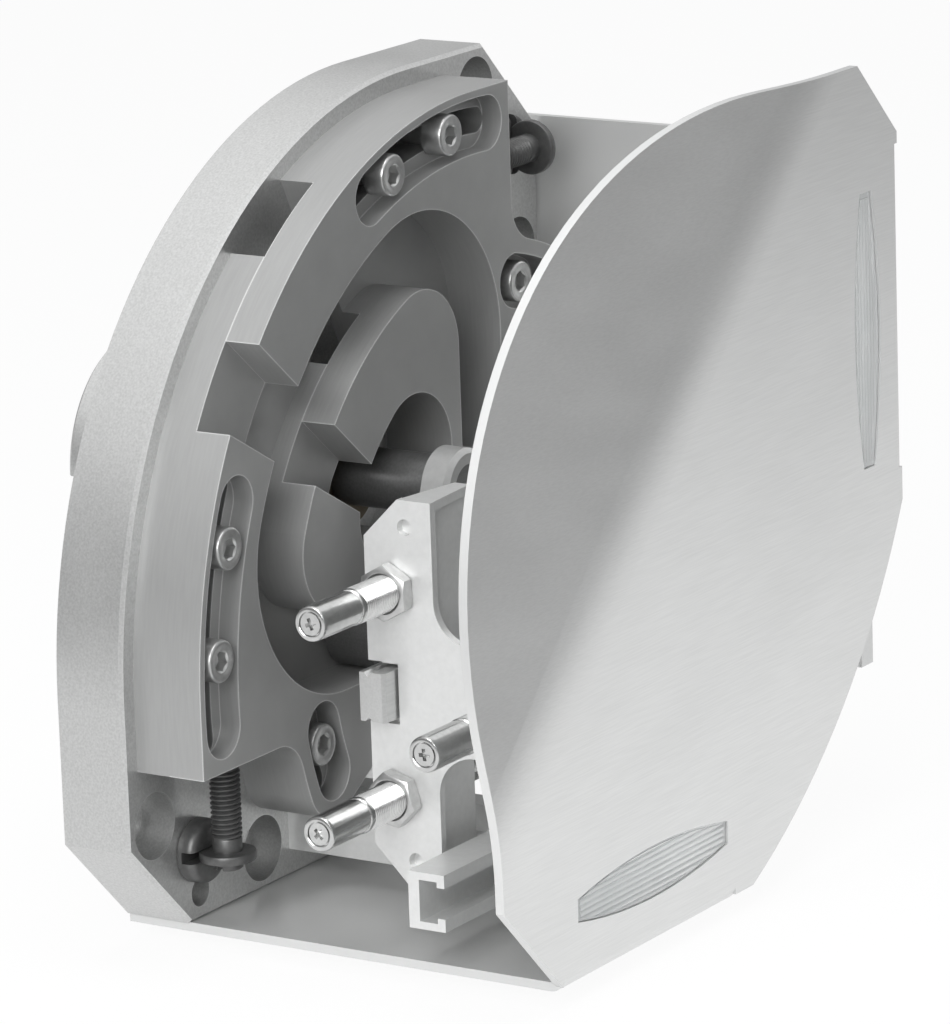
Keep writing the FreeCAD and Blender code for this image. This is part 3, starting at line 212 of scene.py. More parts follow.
bpy.ops.object.select_all(action="DESELECT")
bpy.ops.mesh.primitive_plane_add(size=floor_side, location=(0, 0, cad_box[0][2] - floor_gap))
floor = bpy.context.object
floor.name = "studio_floor"
floor_paint = bpy.data.materials.new("pale_floor")
floor_paint.use_nodes = True
tree = floor_paint.node_tree
tree.nodes.clear()
matt = tree.nodes.new("ShaderNodeBsdfDiffuse")
matt.inputs["Color"].default_value = floor_grey
glow = tree.nodes.new("ShaderNodeEmission")
glow.inputs["Strength"].default_value = 1.0
floor_place = tree.nodes.new("ShaderNodeTexCoord")
far = tree.nodes.new("ShaderNodeVectorMath")
far.operation = "LENGTH"
table_tone = mirror_tone(tree, far.outputs["Value"], table_span, near_to_far)
share = math_node(tree, "MULTIPLY")
share.inputs[1].default_value = plain_share
floor_mix = tree.nodes.new("ShaderNodeMixShader")
floor_out = tree.nodes.new("ShaderNodeOutputMaterial")
tree.links.new(floor_place.outputs["Object"], far.inputs[0])
tree.links.new(table_tone, glow.inputs["Color"])
tree.links.new(ray_mask(tree), share.inputs[0])
tree.links.new(share.outputs[0], floor_mix.inputs["Fac"])
tree.links.new(matt.outputs[0], floor_mix.inputs[1])
tree.links.new(glow.outputs[0], floor_mix.inputs[2])
tree.links.new(floor_mix.outputs[0], floor_out.inputs["Surface"])
floor.data.materials.append(floor_paint)
print("floor:", floor.name)

# %% [markdown]
# ## Shared effects
# Machined metal is never one flat grey. One node group gives noise on object coordinates with a
# scale for each axis: equal scales make a speckle or a cloud, unequal ones make the streaks of
# brushing or milling. It is built once and placed in a material with its own values, so a change to
# the effect reaches every finish.

# %% Grain group
def new_group(name, inputs, outputs):
    """Empty shader node group with named float or vector inputs and float outputs."""
    group = bpy.data.node_groups.new(name, "ShaderNodeTree")
    for socket, kind in inputs:
        group.interface.new_socket(name=socket, in_out="INPUT", socket_type=kind)
    for socket in outputs:
        group.interface.new_socket(name=socket, in_out="OUTPUT", socket_type="NodeSocketFloat")
    return group, group.nodes.new("NodeGroupInput"), group.nodes.new("NodeGroupOutput")


noise_span = (0.3, 0.7)  # nearly all of the noise lies between these
grain_group, entry, leave = new_group(
    "grain", [("Scale", "NodeSocketVector"), ("Detail", "NodeSocketFloat"),
              ("Low", "NodeSocketFloat"), ("High", "NodeSocketFloat")], ["Value"])
coords = grain_group.nodes.new("ShaderNodeTexCoord")
mapping = grain_group.nodes.new("ShaderNodeMapping")
noise = grain_group.nodes.new("ShaderNodeTexNoise")
noise.inputs["Scale"].default_value = 1.0
spread = ramp(grain_group, noise_span)
grain_group.links.new(coords.outputs["Object"], mapping.inputs["Vector"])
grain_group.links.new(entry.outputs["Scale"], mapping.inputs["Scale"])
grain_group.links.new(mapping.outputs["Vector"], noise.inputs["Vector"])
grain_group.links.new(entry.outputs["Detail"], noise.inputs["Detail"])
grain_group.links.new(noise.outputs["Fac"], spread.inputs["Value"])
grain_group.links.new(entry.outputs["Low"], spread.inputs["To Min"])
grain_group.links.new(entry.outputs["High"], spread.inputs["To Max"])
grain_group.links.new(spread.outputs["Result"], leave.inputs["Value"])


def place_grain(tree, scale, detail, low, high):
    """Puts the grain in a material and returns its output."""
    node = tree.nodes.new("ShaderNodeGroup")
    node.node_tree = grain_group
    node.inputs["Scale"].default_value = scale
    node.inputs["Detail"].default_value = detail
    node.inputs["Low"].default_value = low
    node.inputs["High"].default_value = high
    return node.outputs["Value"]


print("group:", grain_group.name)

# %% [markdown]
# A second group paints a highlight on edges. The Bevel node gives the normal that the surface
# would have if its edges were rounded. Where that differs from the plain normal, an edge is near,
# and there the colour is painted bright, a painted highlight that stands in for the light that
# small chamfers catch. The Front input keeps the painted highlight to what lies in front of one
# level, so it shows on the outer corners of a milled plate and not on the corners deep in its
# slots.

# %% Painted edge highlight group
bevel_samples = 6
flat_to_edge = (0.995, 0.88)  # how well the two normals agree

edge_highlight_group, entry, leave = new_group(
    "painted_edge_highlight", [("Radius", "NodeSocketFloat"), ("Front", "NodeSocketFloat")], ["Mask"])
rounded = edge_highlight_group.nodes.new("ShaderNodeBevel")
rounded.samples = bevel_samples
plain = edge_highlight_group.nodes.new("ShaderNodeNewGeometry")
agree = edge_highlight_group.nodes.new("ShaderNodeVectorMath")
agree.operation = "DOT_PRODUCT"
sharpness = ramp(edge_highlight_group, flat_to_edge)
coords = edge_highlight_group.nodes.new("ShaderNodeTexCoord")
axes = edge_highlight_group.nodes.new("ShaderNodeSeparateXYZ")
in_front = math_node(edge_highlight_group, "LESS_THAN")
kept = math_node(edge_highlight_group, "MULTIPLY")
edge_highlight_group.links.new(entry.outputs["Radius"], rounded.inputs["Radius"])
edge_highlight_group.links.new(rounded.outputs["Normal"], agree.inputs[0])
edge_highlight_group.links.new(plain.outputs["Normal"], agree.inputs[1])
edge_highlight_group.links.new(agree.outputs["Value"], sharpness.inputs["Value"])
edge_highlight_group.links.new(coords.outputs["Object"], axes.inputs["Vector"])
edge_highlight_group.links.new(axes.outputs["Y"], in_front.inputs[0])
edge_highlight_group.links.new(entry.outputs["Front"], in_front.inputs[1])
edge_highlight_group.links.new(sharpness.outputs["Result"], kept.inputs[0])
edge_highlight_group.links.new(in_front.outputs["Value"], kept.inputs[1])
edge_highlight_group.links.new(kept.outputs["Value"], leave.inputs["Mask"])


def place_edge_highlight(tree, radius, front):
    """Puts the painted edge highlight in a material and returns its mask."""
    node = tree.nodes.new("ShaderNodeGroup")
    node.node_tree = edge_highlight_group
    node.inputs["Radius"].default_value = radius
    node.inputs["Front"].default_value = front
    return node.outputs["Mask"]


print("group:", edge_highlight_group.name)

# %% [markdown]
# ## A helper for metal finishes
# Every metal here has the same build: two close greys mixed by one grain, a roughness from a
# cloudier one, and a bump so fine that it only breaks up the highlights. Some also have a painted
# highlight on their edges. What differs is the scale and the direction, so one function takes
# those.

# %% Metal finish helper
GREEN_LIFT = 1.006  # the greys of the picture lean a little to green
CLOUD_DETAIL = 3.0
BUMP_STRENGTH = 0.5


def mixed(tree, factor, first, second):
    """Mixes two colours or outputs by a factor and returns the result."""
    node = tree.nodes.new("ShaderNodeMix")
    node.data_type = "RGBA"
    tree.links.new(factor, node.inputs["Factor"])
    for socket, value in (("A", first), ("B", second)):
        if isinstance(value, tuple):
            node.inputs[socket].default_value = (*value, 1)
        else:
            tree.links.new(value, node.inputs[socket])
    return node.outputs["Result"]


def grey(value):
    """Colour of a grey metal."""
    return (value, value * GREEN_LIFT, value)


def metal_finish(name, dark, light, metallic, rough, grain, bump, cloud=(60, 60, 60), edge_highlight=None):
    """Metal with a grain (scale, detail), cloudy roughness (low, high), a fine bump in
    millimetres and, if wanted, a painted edge highlight (radius and front level in millimetres,
    colour)."""
    material = bpy.data.materials.new(name)
    material.use_nodes = True
    tree = material.node_tree
    shader = tree.nodes["Principled BSDF"]
    shader.inputs["Metallic"].default_value = metallic
    fine = place_grain(tree, *grain, 0.0, 1.0)
    colour = mixed(tree, fine, dark, light)
    # Painted highlight: near edges the colour is mixed towards a bright grey, in place of light on
    # small chamfers.
    if edge_highlight:
        radius, front, highlight_colour = edge_highlight
        colour = mixed(tree, place_edge_highlight(tree, radius * MM, front * MM), colour, highlight_colour)
    relief = tree.nodes.new("ShaderNodeBump")
    relief.inputs["Distance"].default_value = bump * MM
    relief.inputs["Strength"].default_value = BUMP_STRENGTH
    cloudy = place_grain(tree, cloud, CLOUD_DETAIL, *rough)
    tree.links.new(colour, shader.inputs["Base Color"])
    tree.links.new(cloudy, shader.inputs["Roughness"])
    tree.links.new(fine, relief.inputs["Height"])
    tree.links.new(relief.outputs["Normal"], shader.inputs["Normal"])
    return material


def finish_nodes(material, *names):
    """Gives CAD nodes a finish in every material slot they have."""
    for name in names:
        for slot in nodes[name].material_slots:
            slot.material = material
    print(material.name, "on", len(names), "nodes")


# %% [markdown]
# Each kind of grain is a scale along X, Y and Z and a detail. Round grains have one scale. Lines
# run along the axis that has the small one.

# %% Kinds of grain
speckle = ((2600, 2600, 2600), 2.0)
fine_mottle = ((900, 900, 900), 3.0)
moulded_mottle = ((1400, 1400, 1400), 2.0)
milled_faces = ((180, 2600, 180), 3.0)
turned_lines = ((300, 3000, 300), 3.0)
ground_lines = ((80, 2600, 2600), 3.0)
brushed_lines = ((120, 4500, 4500), 3.0)
print("lines along X:", ground_lines[0], brushed_lines[0])

# %% [markdown]
# ## Plate and cams
# The base plate is blasted, so its grain is a fine round speckle. The cams are hard anodised, with
# faint milling marks. Their front edges get a painted highlight, and so do those of the half-lap,
# which marks the seam between the two plates. The painted highlights begin just behind each front
# face.

# %% Plate and cam finishes
# Painted highlight on the front edges: radius and front level in millimetres, bright colour.
plate_edge_highlight = (0.25, -12.3, grey(0.8))
cam_edge_highlight = (0.38, -18.7, grey(0.7))
blasted_plate = metal_finish("blasted_plate", grey(0.52), grey(0.63), metallic=0.85,
                             rough=(0.33, 0.4), grain=speckle, bump=0.01, edge_highlight=plate_edge_highlight)
anodised_cam = metal_finish("anodised_cam", grey(0.35), grey(0.375), metallic=0.5,
                            rough=(0.36, 0.44), grain=milled_faces, bump=0.004, edge_highlight=cam_edge_highlight)
finish_nodes(blasted_plate, "base_plate", "bearing_carrier", "drive_housing")
finish_nodes(anodised_cam, "cam_upper", "cam_lower")

# %% [markdown]
# ## Light alloy
# The bracket, the rails and the slide are natural aluminium: pale, with a soft sheen. The sheet
# bracket is the palest piece in the picture, so its colour is what sets how bright the lamps may
# be. The drive lever, deep in the pocket of the cams, is a darker casting.

# %% Light alloy finishes
natural_alloy = metal_finish("natural_alloy", grey(0.71), grey(0.75), metallic=0.55,
                             rough=(0.36, 0.42), grain=fine_mottle, bump=0.004)
lever_alloy = metal_finish("lever_alloy", grey(0.46), grey(0.5), metallic=0.6,
                           rough=(0.36, 0.42), grain=fine_mottle, bump=0.004)
finish_nodes(natural_alloy, "sensor_rail_lower", "sensor_rail_upper", "rail_supports",
             "swivel_hub", "stop_portal", "slide_plate", "follower_block", "tail_block",
             "stop_bracket", "gripper_plate")
finish_nodes(lever_alloy, "drive_lever")

# %% [markdown]
# ## Steel, bronze and plastic
# Screws and nuts are zinc plated, the adjusters are black oxide, the bearing pieces are ground, and
# the absorbers are nickel plated. The stud, the roller and the shaft deep in the groove are darker.
# The bushes are bronze, darkened by oil.

# %% Steel finishes
plated_steel = metal_finish("plated_steel", grey(0.5), grey(0.6), metallic=0.9,
                            rough=(0.28, 0.38), grain=fine_mottle, bump=0.006)
black_steel = metal_finish("black_steel", grey(0.1), grey(0.13), metallic=0.6,
                           rough=(0.34, 0.48), grain=fine_mottle, bump=0.01)
ground_steel = metal_finish("ground_steel", grey(0.56), grey(0.62), metallic=0.8,
                            rough=(0.28, 0.36), grain=ground_lines, bump=0.003)
dark_steel = metal_finish("dark_steel", grey(0.18), grey(0.22), metallic=0.8,
                          rough=(0.3, 0.38), grain=ground_lines, bump=0.003)
bright_nickel = metal_finish("bright_nickel", grey(0.58), grey(0.66), metallic=1.0,
                             rough=(0.16, 0.26), grain=fine_mottle, bump=0.004)
finish_nodes(plated_steel, "carrier_screws", "support_screws", "sensor_rail_screws",
             "carriage_screws", "portal_screws", "stud_nuts", "guide_rail_screws",
             "follower_screws", "tail_screws", "gripper_screws")
finish_nodes(black_steel, "retaining_ring", "lever_screw")
finish_nodes(ground_steel, "bearing_outer_rings", "bearing_inner_rings", "bearing_cap",
             "guide_rail", "guide_carriage", "stop_studs", "rod_upper", "rod_lower", "rod_front")
finish_nodes(dark_steel, "follower_stud", "cam_roller", "drive_shaft")

# %% Bronze and plastic finishes
bronze_alloy = metal_finish("bronze_alloy", (0.12, 0.1, 0.07), (0.17, 0.14, 0.1), metallic=0.9,
                            rough=(0.3, 0.42), grain=turned_lines, bump=0.01)
moulded_plastic = metal_finish("moulded_plastic", grey(0.03), grey(0.045), metallic=0.0,
                               rough=(0.45, 0.6), grain=moulded_mottle, bump=0.02)
finish_nodes(bronze_alloy, "drive_bush", "slot_bush")
finish_nodes(moulded_plastic, "carriage_caps")

# %% [markdown]
# ## The cover
# The cover is one brushed sheet. Its grain runs along X, so the streaks are long in X and very
# short in Z, and so weak that they are felt more than seen. A wider cloud varies the roughness.
# Only the front is brushed bright. The back and the walls are left as rolled, which is darker and
# duller, so a mask from the normal changes the colour and the metallic value there.

# %% Brushed sheet
front_limit = -0.55  # a normal with less than this along Y looks to the front
rolled_metallic, brushed_metallic = 0.45, 0.85
rolled_grey = grey(0.68)

brushed_sheet = metal_finish("brushed_sheet", grey(0.72), grey(0.77), metallic=brushed_metallic,
                             rough=(0.3, 0.36), grain=brushed_lines, bump=0.004,
                             cloud=(40, 40, 90))
tree = brushed_sheet.node_tree
shader = tree.nodes["Principled BSDF"]
sheet_side = tree.nodes.new("ShaderNodeTexCoord")
side_axes = tree.nodes.new("ShaderNodeSeparateXYZ")
is_front = math_node(tree, "LESS_THAN")
is_front.inputs[1].default_value = front_limit
shine = ramp(tree, (0.0, 1.0), (rolled_metallic, brushed_metallic))
brushed_colour = shader.inputs["Base Color"].links[0].from_socket
sheet_colour = mixed(tree, is_front.outputs["Value"], rolled_grey, brushed_colour)
tree.links.new(sheet_side.outputs["Normal"], side_axes.inputs["Vector"])
tree.links.new(side_axes.outputs["Y"], is_front.inputs[0])
tree.links.new(is_front.outputs["Value"], shine.inputs["Value"])
tree.links.new(shine.outputs["Result"], shader.inputs["Metallic"])
tree.links.new(sheet_colour, shader.inputs["Base Color"])
finish_nodes(brushed_sheet, "cover")

# %% [markdown]
# ## Clear plastic
# The sensor windows are moulded in a clear plastic that is a little milky, so they look nearly as
# pale as the sheet round them.

# %% Clear plastic finish
wide_cloud = ((90, 90, 90), 2.0)
small_cloud = ((300, 300, 300), 2.0)
clear_plastic = bpy.data.materials.new("clear_plastic")
clear_plastic.use_nodes = True
tree = clear_plastic.node_tree
shader = tree.nodes["Principled BSDF"]
shader.inputs["Transmission Weight"].default_value = 0.5
shader.inputs["IOR"].default_value = 1.49
milkiness = place_grain(tree, *wide_cloud, 0.0, 1.0)
milky = mixed(tree, milkiness, (0.86, 0.88, 0.88), (0.93, 0.94, 0.94))
smoothness = place_grain(tree, *small_cloud, 0.08, 0.15)
tree.links.new(milky, shader.inputs["Base Color"])
tree.links.new(smoothness, shader.inputs["Roughness"])
print("finish:", clear_plastic.name)

# %% [markdown]
# ## Tools for modelling
# The new pieces are made as on a lathe and a mill. A turned bar starts as a disc that is drawn out
# from station to station. A threaded bar is one tooth of the thread wound up by the Screw modifier
# and cut off at both ends. Flats, slots and sockets are cut with a tool and the Boolean modifier.

# %% Handling a piece
def take(piece):
    """Makes a piece the only selected and active one."""
    bpy.ops.object.select_all(action="DESELECT")
    piece.select_set(True)
    bpy.context.view_layer.objects.active = piece


def pick(piece, test):
    """Goes into edit mode with just those points selected whose place passes a test."""
    take(piece)
    bpy.ops.object.mode_set(mode="EDIT")
    bpy.ops.mesh.select_all(action="DESELECT")
    bpy.ops.object.mode_set(mode="OBJECT")
    for corner in piece.data.vertices:
        corner.select = test(corner.co)
    bpy.ops.object.mode_set(mode="EDIT")


def pick_all():
    """Goes into edit mode on the active piece with all of it selected."""
    bpy.ops.object.mode_set(mode="EDIT")
    bpy.ops.mesh.select_all(action="SELECT")


def face_outwards():
    """Turns all faces outwards and leaves edit mode."""
    bpy.ops.mesh.select_all(action="SELECT")
    bpy.ops.mesh.normals_make_consistent(inside=False)
    bpy.ops.object.mode_set(mode="OBJECT")


def settle():
    """Writes the place, the turn and the scale of the selected piece into its points."""
    bpy.ops.object.transform_apply(location=True, rotation=True, scale=True)


# %% Turned bar
def turned_bar(name, stations, sides=48):
    """Round bar along Z through stations, each a level and a radius in millimetres."""
    bpy.ops.object.select_all(action="DESELECT")
    level, radius = stations[0]
    bpy.ops.mesh.primitive_circle_add(vertices=sides, radius=radius * MM, fill_type="NGON",
                                      location=(0, 0, level * MM))
    piece = bpy.context.object
    piece.name = name
    pick_all()
    for next_level, next_radius in stations[1:]:
        step = (0, 0, (next_level - level) * MM)
        bpy.ops.mesh.extrude_region_move(TRANSFORM_OT_translate={"value": step})
        ratio = next_radius / radius
        bpy.ops.transform.resize(value=(ratio, ratio, 1))
        level, radius = next_level, next_radius
    face_outwards()
    settle()
    return piece


# %% Threaded bar
WELD = 1e-7  # points closer than this are one, in metres


def trim(piece, level, above):
    """Cuts a piece off flat at a level in millimetres, above or below it, and closes the cut."""
    take(piece)
    pick_all()
    bpy.ops.mesh.bisect(plane_co=(0, 0, level * MM), plane_no=(0, 0, 1), use_fill=True,
                        threshold=WELD, clear_outer=above, clear_inner=not above)
    face_outwards()


def threaded_bar(name, start, stop, diameter, pitch, depth, sides=40):
    """Bar along Z with a thread from start to stop, all in millimetres."""
    crest = 0.2  # share of the pitch that is left at the top of a tooth
    lead = 1.0071 * pitch  # begins this much early, so that no corner lies on the cut
    spare_turns = 3
    bpy.ops.object.select_all(action="DESELECT")
    bpy.ops.mesh.primitive_plane_add(size=1, rotation=(math.pi / 2, 0, 0))
    piece = bpy.context.object
    piece.name = name
    settle()
    pick_all()
    bpy.ops.transform.resize(value=(depth * MM, 1, pitch * MM))
    bpy.ops.object.mode_set(mode="OBJECT")
    pick(piece, lambda co: co.x > 0)
    bpy.ops.transform.resize(value=(1, 1, crest))
    bpy.ops.object.mode_set(mode="OBJECT")
    pick(piece, lambda co: co.x < 0)
    bpy.ops.mesh.delete(type="EDGE")
    bpy.ops.mesh.select_all(action="SELECT")
    bpy.ops.transform.translate(value=((diameter - depth) / 2 * MM, 0, (start - lead) * MM))
    bpy.ops.object.mode_set(mode="OBJECT")
    helix = piece.modifiers.new("helix", "SCREW")
    helix.axis = "Z"
    helix.steps = sides
    helix.render_steps = sides
    helix.screw_offset = pitch * MM
    helix.iterations = math.ceil((stop - start) / pitch) + spare_turns
    bpy.ops.object.modifier_apply(modifier=helix.name)
    pick_all()
    bpy.ops.mesh.remove_doubles(threshold=WELD)
    bpy.ops.object.mode_set(mode="OBJECT")
    trim(piece, start, above=False)
    trim(piece, stop, above=True)
    return piece


# %% Cutting and joining
def carve(piece, tool, how="DIFFERENCE"):
    """Cuts a tool out of a piece, or keeps what both share, or joins them. It uses up the tool."""
    take(piece)
    cut = piece.modifiers.new("cut", "BOOLEAN")
    cut.operation = how
    cut.solver = "EXACT"
    cut.object = tool
    bpy.ops.object.modifier_apply(modifier=cut.name)
    bpy.data.objects.remove(tool)
    return piece


def block_cutter(low, high, taper=1.0):
    """Box between two corners in millimetres, as a cutting tool. Its top may be narrower."""
    bpy.ops.object.select_all(action="DESELECT")
    middle = [(a + b) / 2 * MM for a, b in zip(low, high)]
    spans = [(b - a) * MM for a, b in zip(low, high)]
    bpy.ops.mesh.primitive_cube_add(size=1, location=middle, scale=spans)
    tool = bpy.context.object
    settle()
    pick(tool, lambda co: co.z > middle[2])
    bpy.ops.transform.resize(value=(taper, taper, 1))
    bpy.ops.object.mode_set(mode="OBJECT")
    return tool


def copied(piece):
    """Copy of a piece with its own mesh."""
    take(piece)
    bpy.ops.object.duplicate(linked=False)
    return bpy.context.object


def joined(name, pieces):
    """Several pieces as one object."""
    take(pieces[0])
    for piece in pieces[1:]:
        piece.select_set(True)
    bpy.ops.object.join()
    pieces[0].name = name
    return pieces[0]


# %% Placing and handing over
plate_thickness = 12.5
smooth_limit = math.radians(32)  # edges sharper than this stay sharp
to_work, to_tail = (1, 0, 0), (-1, 0, 0)
to_front, to_rear = (0, -1, 0), (0, 1, 0)
upwards, downwards = (0, 0, 1), (0, 0, -1)


def point(x, f, z):
    """Place in millimetres, f in front of the base plate's front face, as a point in metres."""
    return Vector((x * MM, -(plate_thickness + f) * MM, z * MM))


def set_in_place(piece, place, along, side):
    """Moves a piece to a place, with its Z along one direction and its X towards another."""
    z_axis = Vector(along).normalized()
    x_axis = Vector(side)
    x_axis = (x_axis - x_axis.dot(z_axis) * z_axis).normalized()
    turn = Matrix((x_axis, z_axis.cross(x_axis), z_axis)).transposed().to_4x4()
    turn.translation = place
    piece.matrix_world = turn
    take(piece)
    settle()
    return piece


def hand_over(piece, node, body, finish):
    """Shades a finished piece, gives it its finish and puts it on its body for a CAD node."""
    take(piece)
    bpy.ops.object.shade_smooth_by_angle(angle=smooth_limit)
    piece.data.materials.clear()
    piece.data.materials.append(finish)
    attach(piece, body)
    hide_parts(node)
    print(piece.name, "has", len(piece.data.polygons), "faces")


print("front of the plate:", point(0, 0, 0))

# %% [markdown]
# ## Shock absorbers
# Each absorber is a nickel-plated bar with a fine M6 thread. Its rear end is a smooth sleeve with a
# rolled rim, and in the rim sits an adjusting plug with a cross recess and a dark ring round it.
# The sleeve is turned, the thread is wound, and the cross is cut with two crossed bars.

# %% Absorber sleeve and plug
plug_stations = [(0.12, 1.8), (0.7, 1.8), (0.7, 2.02), (0.1, 2.06)]
rim_stations = [(0.0, 2.2), (0.0, 2.45), (0.1, 2.7), (0.35, 2.84), (0.7, 2.875)]
sleeve_stations = [(10.1, 2.875), (10.25, 2.74), (10.8, 2.74), (10.95, 2.9), (11.2, 3.0),
                   (11.7, 3.0)]
absorber = turned_bar("absorber", plug_stations + rim_stations + sleeve_stations)

recess_long, recess_thin, recess_taper = 1.15, 0.38, 0.6
outside = -0.3  # where the cutting bars begin, clear of the plug
for half_x, half_y, depth in ((recess_long, recess_thin, 0.85), (recess_thin, recess_long, 0.8)):
    bar = block_cutter((-half_x, -half_y, outside), (half_x, half_y, depth), recess_taper)
    carve(absorber, bar)
print("sleeve faces:", len(absorber.data.polygons))

# %% [markdown]
# The absorbers lie along X. Each has a place (in front of the plate, height) and its own turn, in
# radians, because screws and plugs never all stop at the same angle.

# %% Absorber thread, and the three absorbers
def across(turn):
    """Direction across the X axis, turned from the front upwards."""
    return (0, -math.cos(turn), math.sin(turn))


absorber_tail = -84.8
upper_axis, lower_axis, front_axis = (34.2, 16.9), (34.2, -16.9), (54.3, -1.5)
absorber_seats = {"absorber_upper": (upper_axis, 0.35), "absorber_lower": (lower_axis, 0.75),
                  "absorber_front": (front_axis, 0.1)}
absorber_thread = threaded_bar("absorber_thread", start=11.7, stop=45.0, diameter=6.0,
                               pitch=0.5, depth=0.31)
carve(absorber_thread, turned_bar("rod_bore", [(30.0, 1.3), (45.5, 1.3)]))
absorber = joined("absorber", [absorber, absorber_thread])
for node, (axis, turn) in absorber_seats.items():
    piece = copied(absorber)
    piece.name = node + "_turned"
    set_in_place(piece, point(absorber_tail, *axis), to_work, across(turn))
    hand_over(piece, node, "slide", bright_nickel)
bpy.data.objects.remove(absorber)

# %% [markdown]
# ## Lock nuts
# A hexagon bar is cut off and its corners are turned down at thirty degrees on both faces, which
# leaves the curved edges that every real nut has. The mouth of the bore is countersunk. The upper
# and lower absorbers have one nut on the tail side of the bracket, and the front one has two.

# %% Nuts
nut_corner, nut_height = 4.619, 2.8
turning_stations = [(0, 3.8), (0.47, 4.66), (2.33, 4.66), (nut_height, 3.8)]
bore_stations = [(-0.1, 3.45), (0.35, 3.02), (2.45, 3.02), (2.9, 3.45)]
nut = turned_bar("nut", [(0, nut_corner), (nut_height, nut_corner)], sides=6)
carve(nut, turned_bar("nut_turning", turning_stations, sides=72), "INTERSECT")
carve(nut, turned_bar("nut_bore", bore_stations))

bracket_tail, bracket_work = -61.8, -60.3
nut_seats = [(bracket_tail, upper_axis, to_tail, 0.0), (bracket_tail, lower_axis, to_tail, 0.28),
             (bracket_tail, front_axis, to_tail, 0.1), (bracket_work, front_axis, to_work, 0.1)]
nuts = [set_in_place(copied(nut), point(x, *axis), along, across(turn))
        for x, axis, along, turn in nut_seats]
bpy.data.objects.remove(nut)
hand_over(joined("lock_nuts", nuts), "absorber_nuts", "slide", plated_steel)

# %% [markdown]
# ## Cam adjusters
# Each cam is pushed along by a black screw. Its thin collar runs in the slot of a round post, so
# the screw can turn but not move, and the end has a screwdriver slot. The thread is a coarse M5.

# %% Adjusting screws
adjuster_line = 70  # from the swivel axis, on the plate
adjuster_level, adjuster_start = 6.4, 2.2
end_stations = [(22.8, 2.3), (23.0, 2.42), (25.05, 2.42)]
collar_stations = [(25.05, 4.3), (25.13, 4.55), (25.35, 4.68), (26.25, 4.68), (26.47, 4.55),
                   (26.55, 4.3)]
tip_stations = [(26.55, 2.42), (27.8, 2.42), (28.05, 2.15)]
adjuster_thread = threaded_bar("adjuster_thread", start=0.0, stop=22.8, diameter=5.0, pitch=0.8,
                               depth=0.45)
adjuster_end = turned_bar("adjuster_end", end_stations + collar_stations + tip_stations)
slot_half, slot_floor = 0.5, 27.3
carve(adjuster_end, block_cutter((-slot_half, -4, slot_floor), (slot_half, 4, 28.6)))
adjuster = joined("adjuster", [adjuster_thread, adjuster_end])
upper_place = point(adjuster_start, adjuster_level, adjuster_line)
lower_place = point(-adjuster_line, adjuster_level, -adjuster_start)
upper_adjuster = set_in_place(copied(adjuster), upper_place, to_work, to_front)
lower_adjuster = set_in_place(copied(adjuster), lower_place, downwards, to_front)
bpy.data.objects.remove(adjuster)
hand_over(joined("cam_adjusters", [upper_adjuster, lower_adjuster]), "adjusting_screws", "base",
          black_steel)

# %% [markdown]
# The posts are turned with a domed rim and a stem that sits in the base plate. A slot is milled
# across the head for the collar.

# %% Adjuster posts
post_reach = 28
stem_stations = [(-9, 2.6), (-8.6, 3.0), (0, 3.0)]
dome_stations = [(0, 5.1), (0.2, 5.3), (1.9, 5.3), (2.5, 5.18), (2.9, 4.9), (3.13, 4.45),
                 (3.2, 3.9)]
post = turned_bar("post", stem_stations + dome_stations)
groove_half, groove_floor = 0.95, 1.0
carve(post, block_cutter((-groove_half, -6, groove_floor), (groove_half, 6, 4.0)))
upper_post = set_in_place(copied(post), point(post_reach, 0, adjuster_line), to_front, to_work)
lower_post = set_in_place(copied(post), point(-adjuster_line, 0, -post_reach), to_front, upwards)
bpy.data.objects.remove(post)
hand_over(joined("adjuster_posts", [upper_post, lower_post]), "adjusting_posts", "base",
          black_steel)

# %% [markdown]
# ## Cap screws
# The screws that show are socket head cap screws. The rim of the head is rolled, its face is a
# little dished, and the hexagon socket has a countersunk mouth that catches the light as a bright
# ring.

# %% Cap screw
def cap_screw(shank, head, height, socket, length):
    """Socket head cap screw along Z with its head's seat at zero: the diameters of shank and
    head, the head's height, the socket's width and the shank's length in millimetres."""
    r = head / 2
    core = shank / 2
    corner = socket / math.sqrt(3)
    over = height + 0.3  # where the cutting tools end, clear of the head
    shank_stations = [(-length, core * 0.85), (core * 0.2 - length, core), (0, core)]
    head_stations = [(0, r * 0.95), (0.15, r), (height - 0.45, r), (height - 0.15, r * 0.965),
                     (height, r * 0.9), (height, r * 0.68), (height - 0.1, r * 0.63)]
    mouth_stations = [(height - 0.42, corner * 0.86), (height, corner * 1.14),
                      (over, corner * 1.14)]
    socket_stations = [(height * 0.42, corner * 0.2), (height * 0.52, corner), (over, corner)]
    screw = turned_bar("cap_screw", shank_stations + head_stations, sides=40)
    carve(screw, turned_bar("socket_mouth", mouth_stations, sides=40))
    carve(screw, turned_bar("socket", socket_stations, sides=6))
    return screw


def screw_set(name, screw, seats):
    """Copies a screw to every seat (place, direction of the head, side) and joins the copies."""
    copies = [set_in_place(copied(screw), *seat) for seat in seats]
    bpy.data.objects.remove(screw)
    return joined(name, copies)


m4_cap = (4.0, 7.0, 4.0, 3.0)  # shank, head, height and socket
m4_flat_cap = (4.0, 7.6, 2.2, 2.5)
print("head of a cam screw:", m4_cap[1], "head of a cover screw:", m4_flat_cap[1])

# %% Cam screws
def on_arc(radius, degrees):
    """Place on an arc about the swivel axis, and its twin on the other cam."""
    turn = math.radians(degrees)
    x, z = radius * math.cos(turn), radius * math.sin(turn)
    return (x, z), (-z, -x)


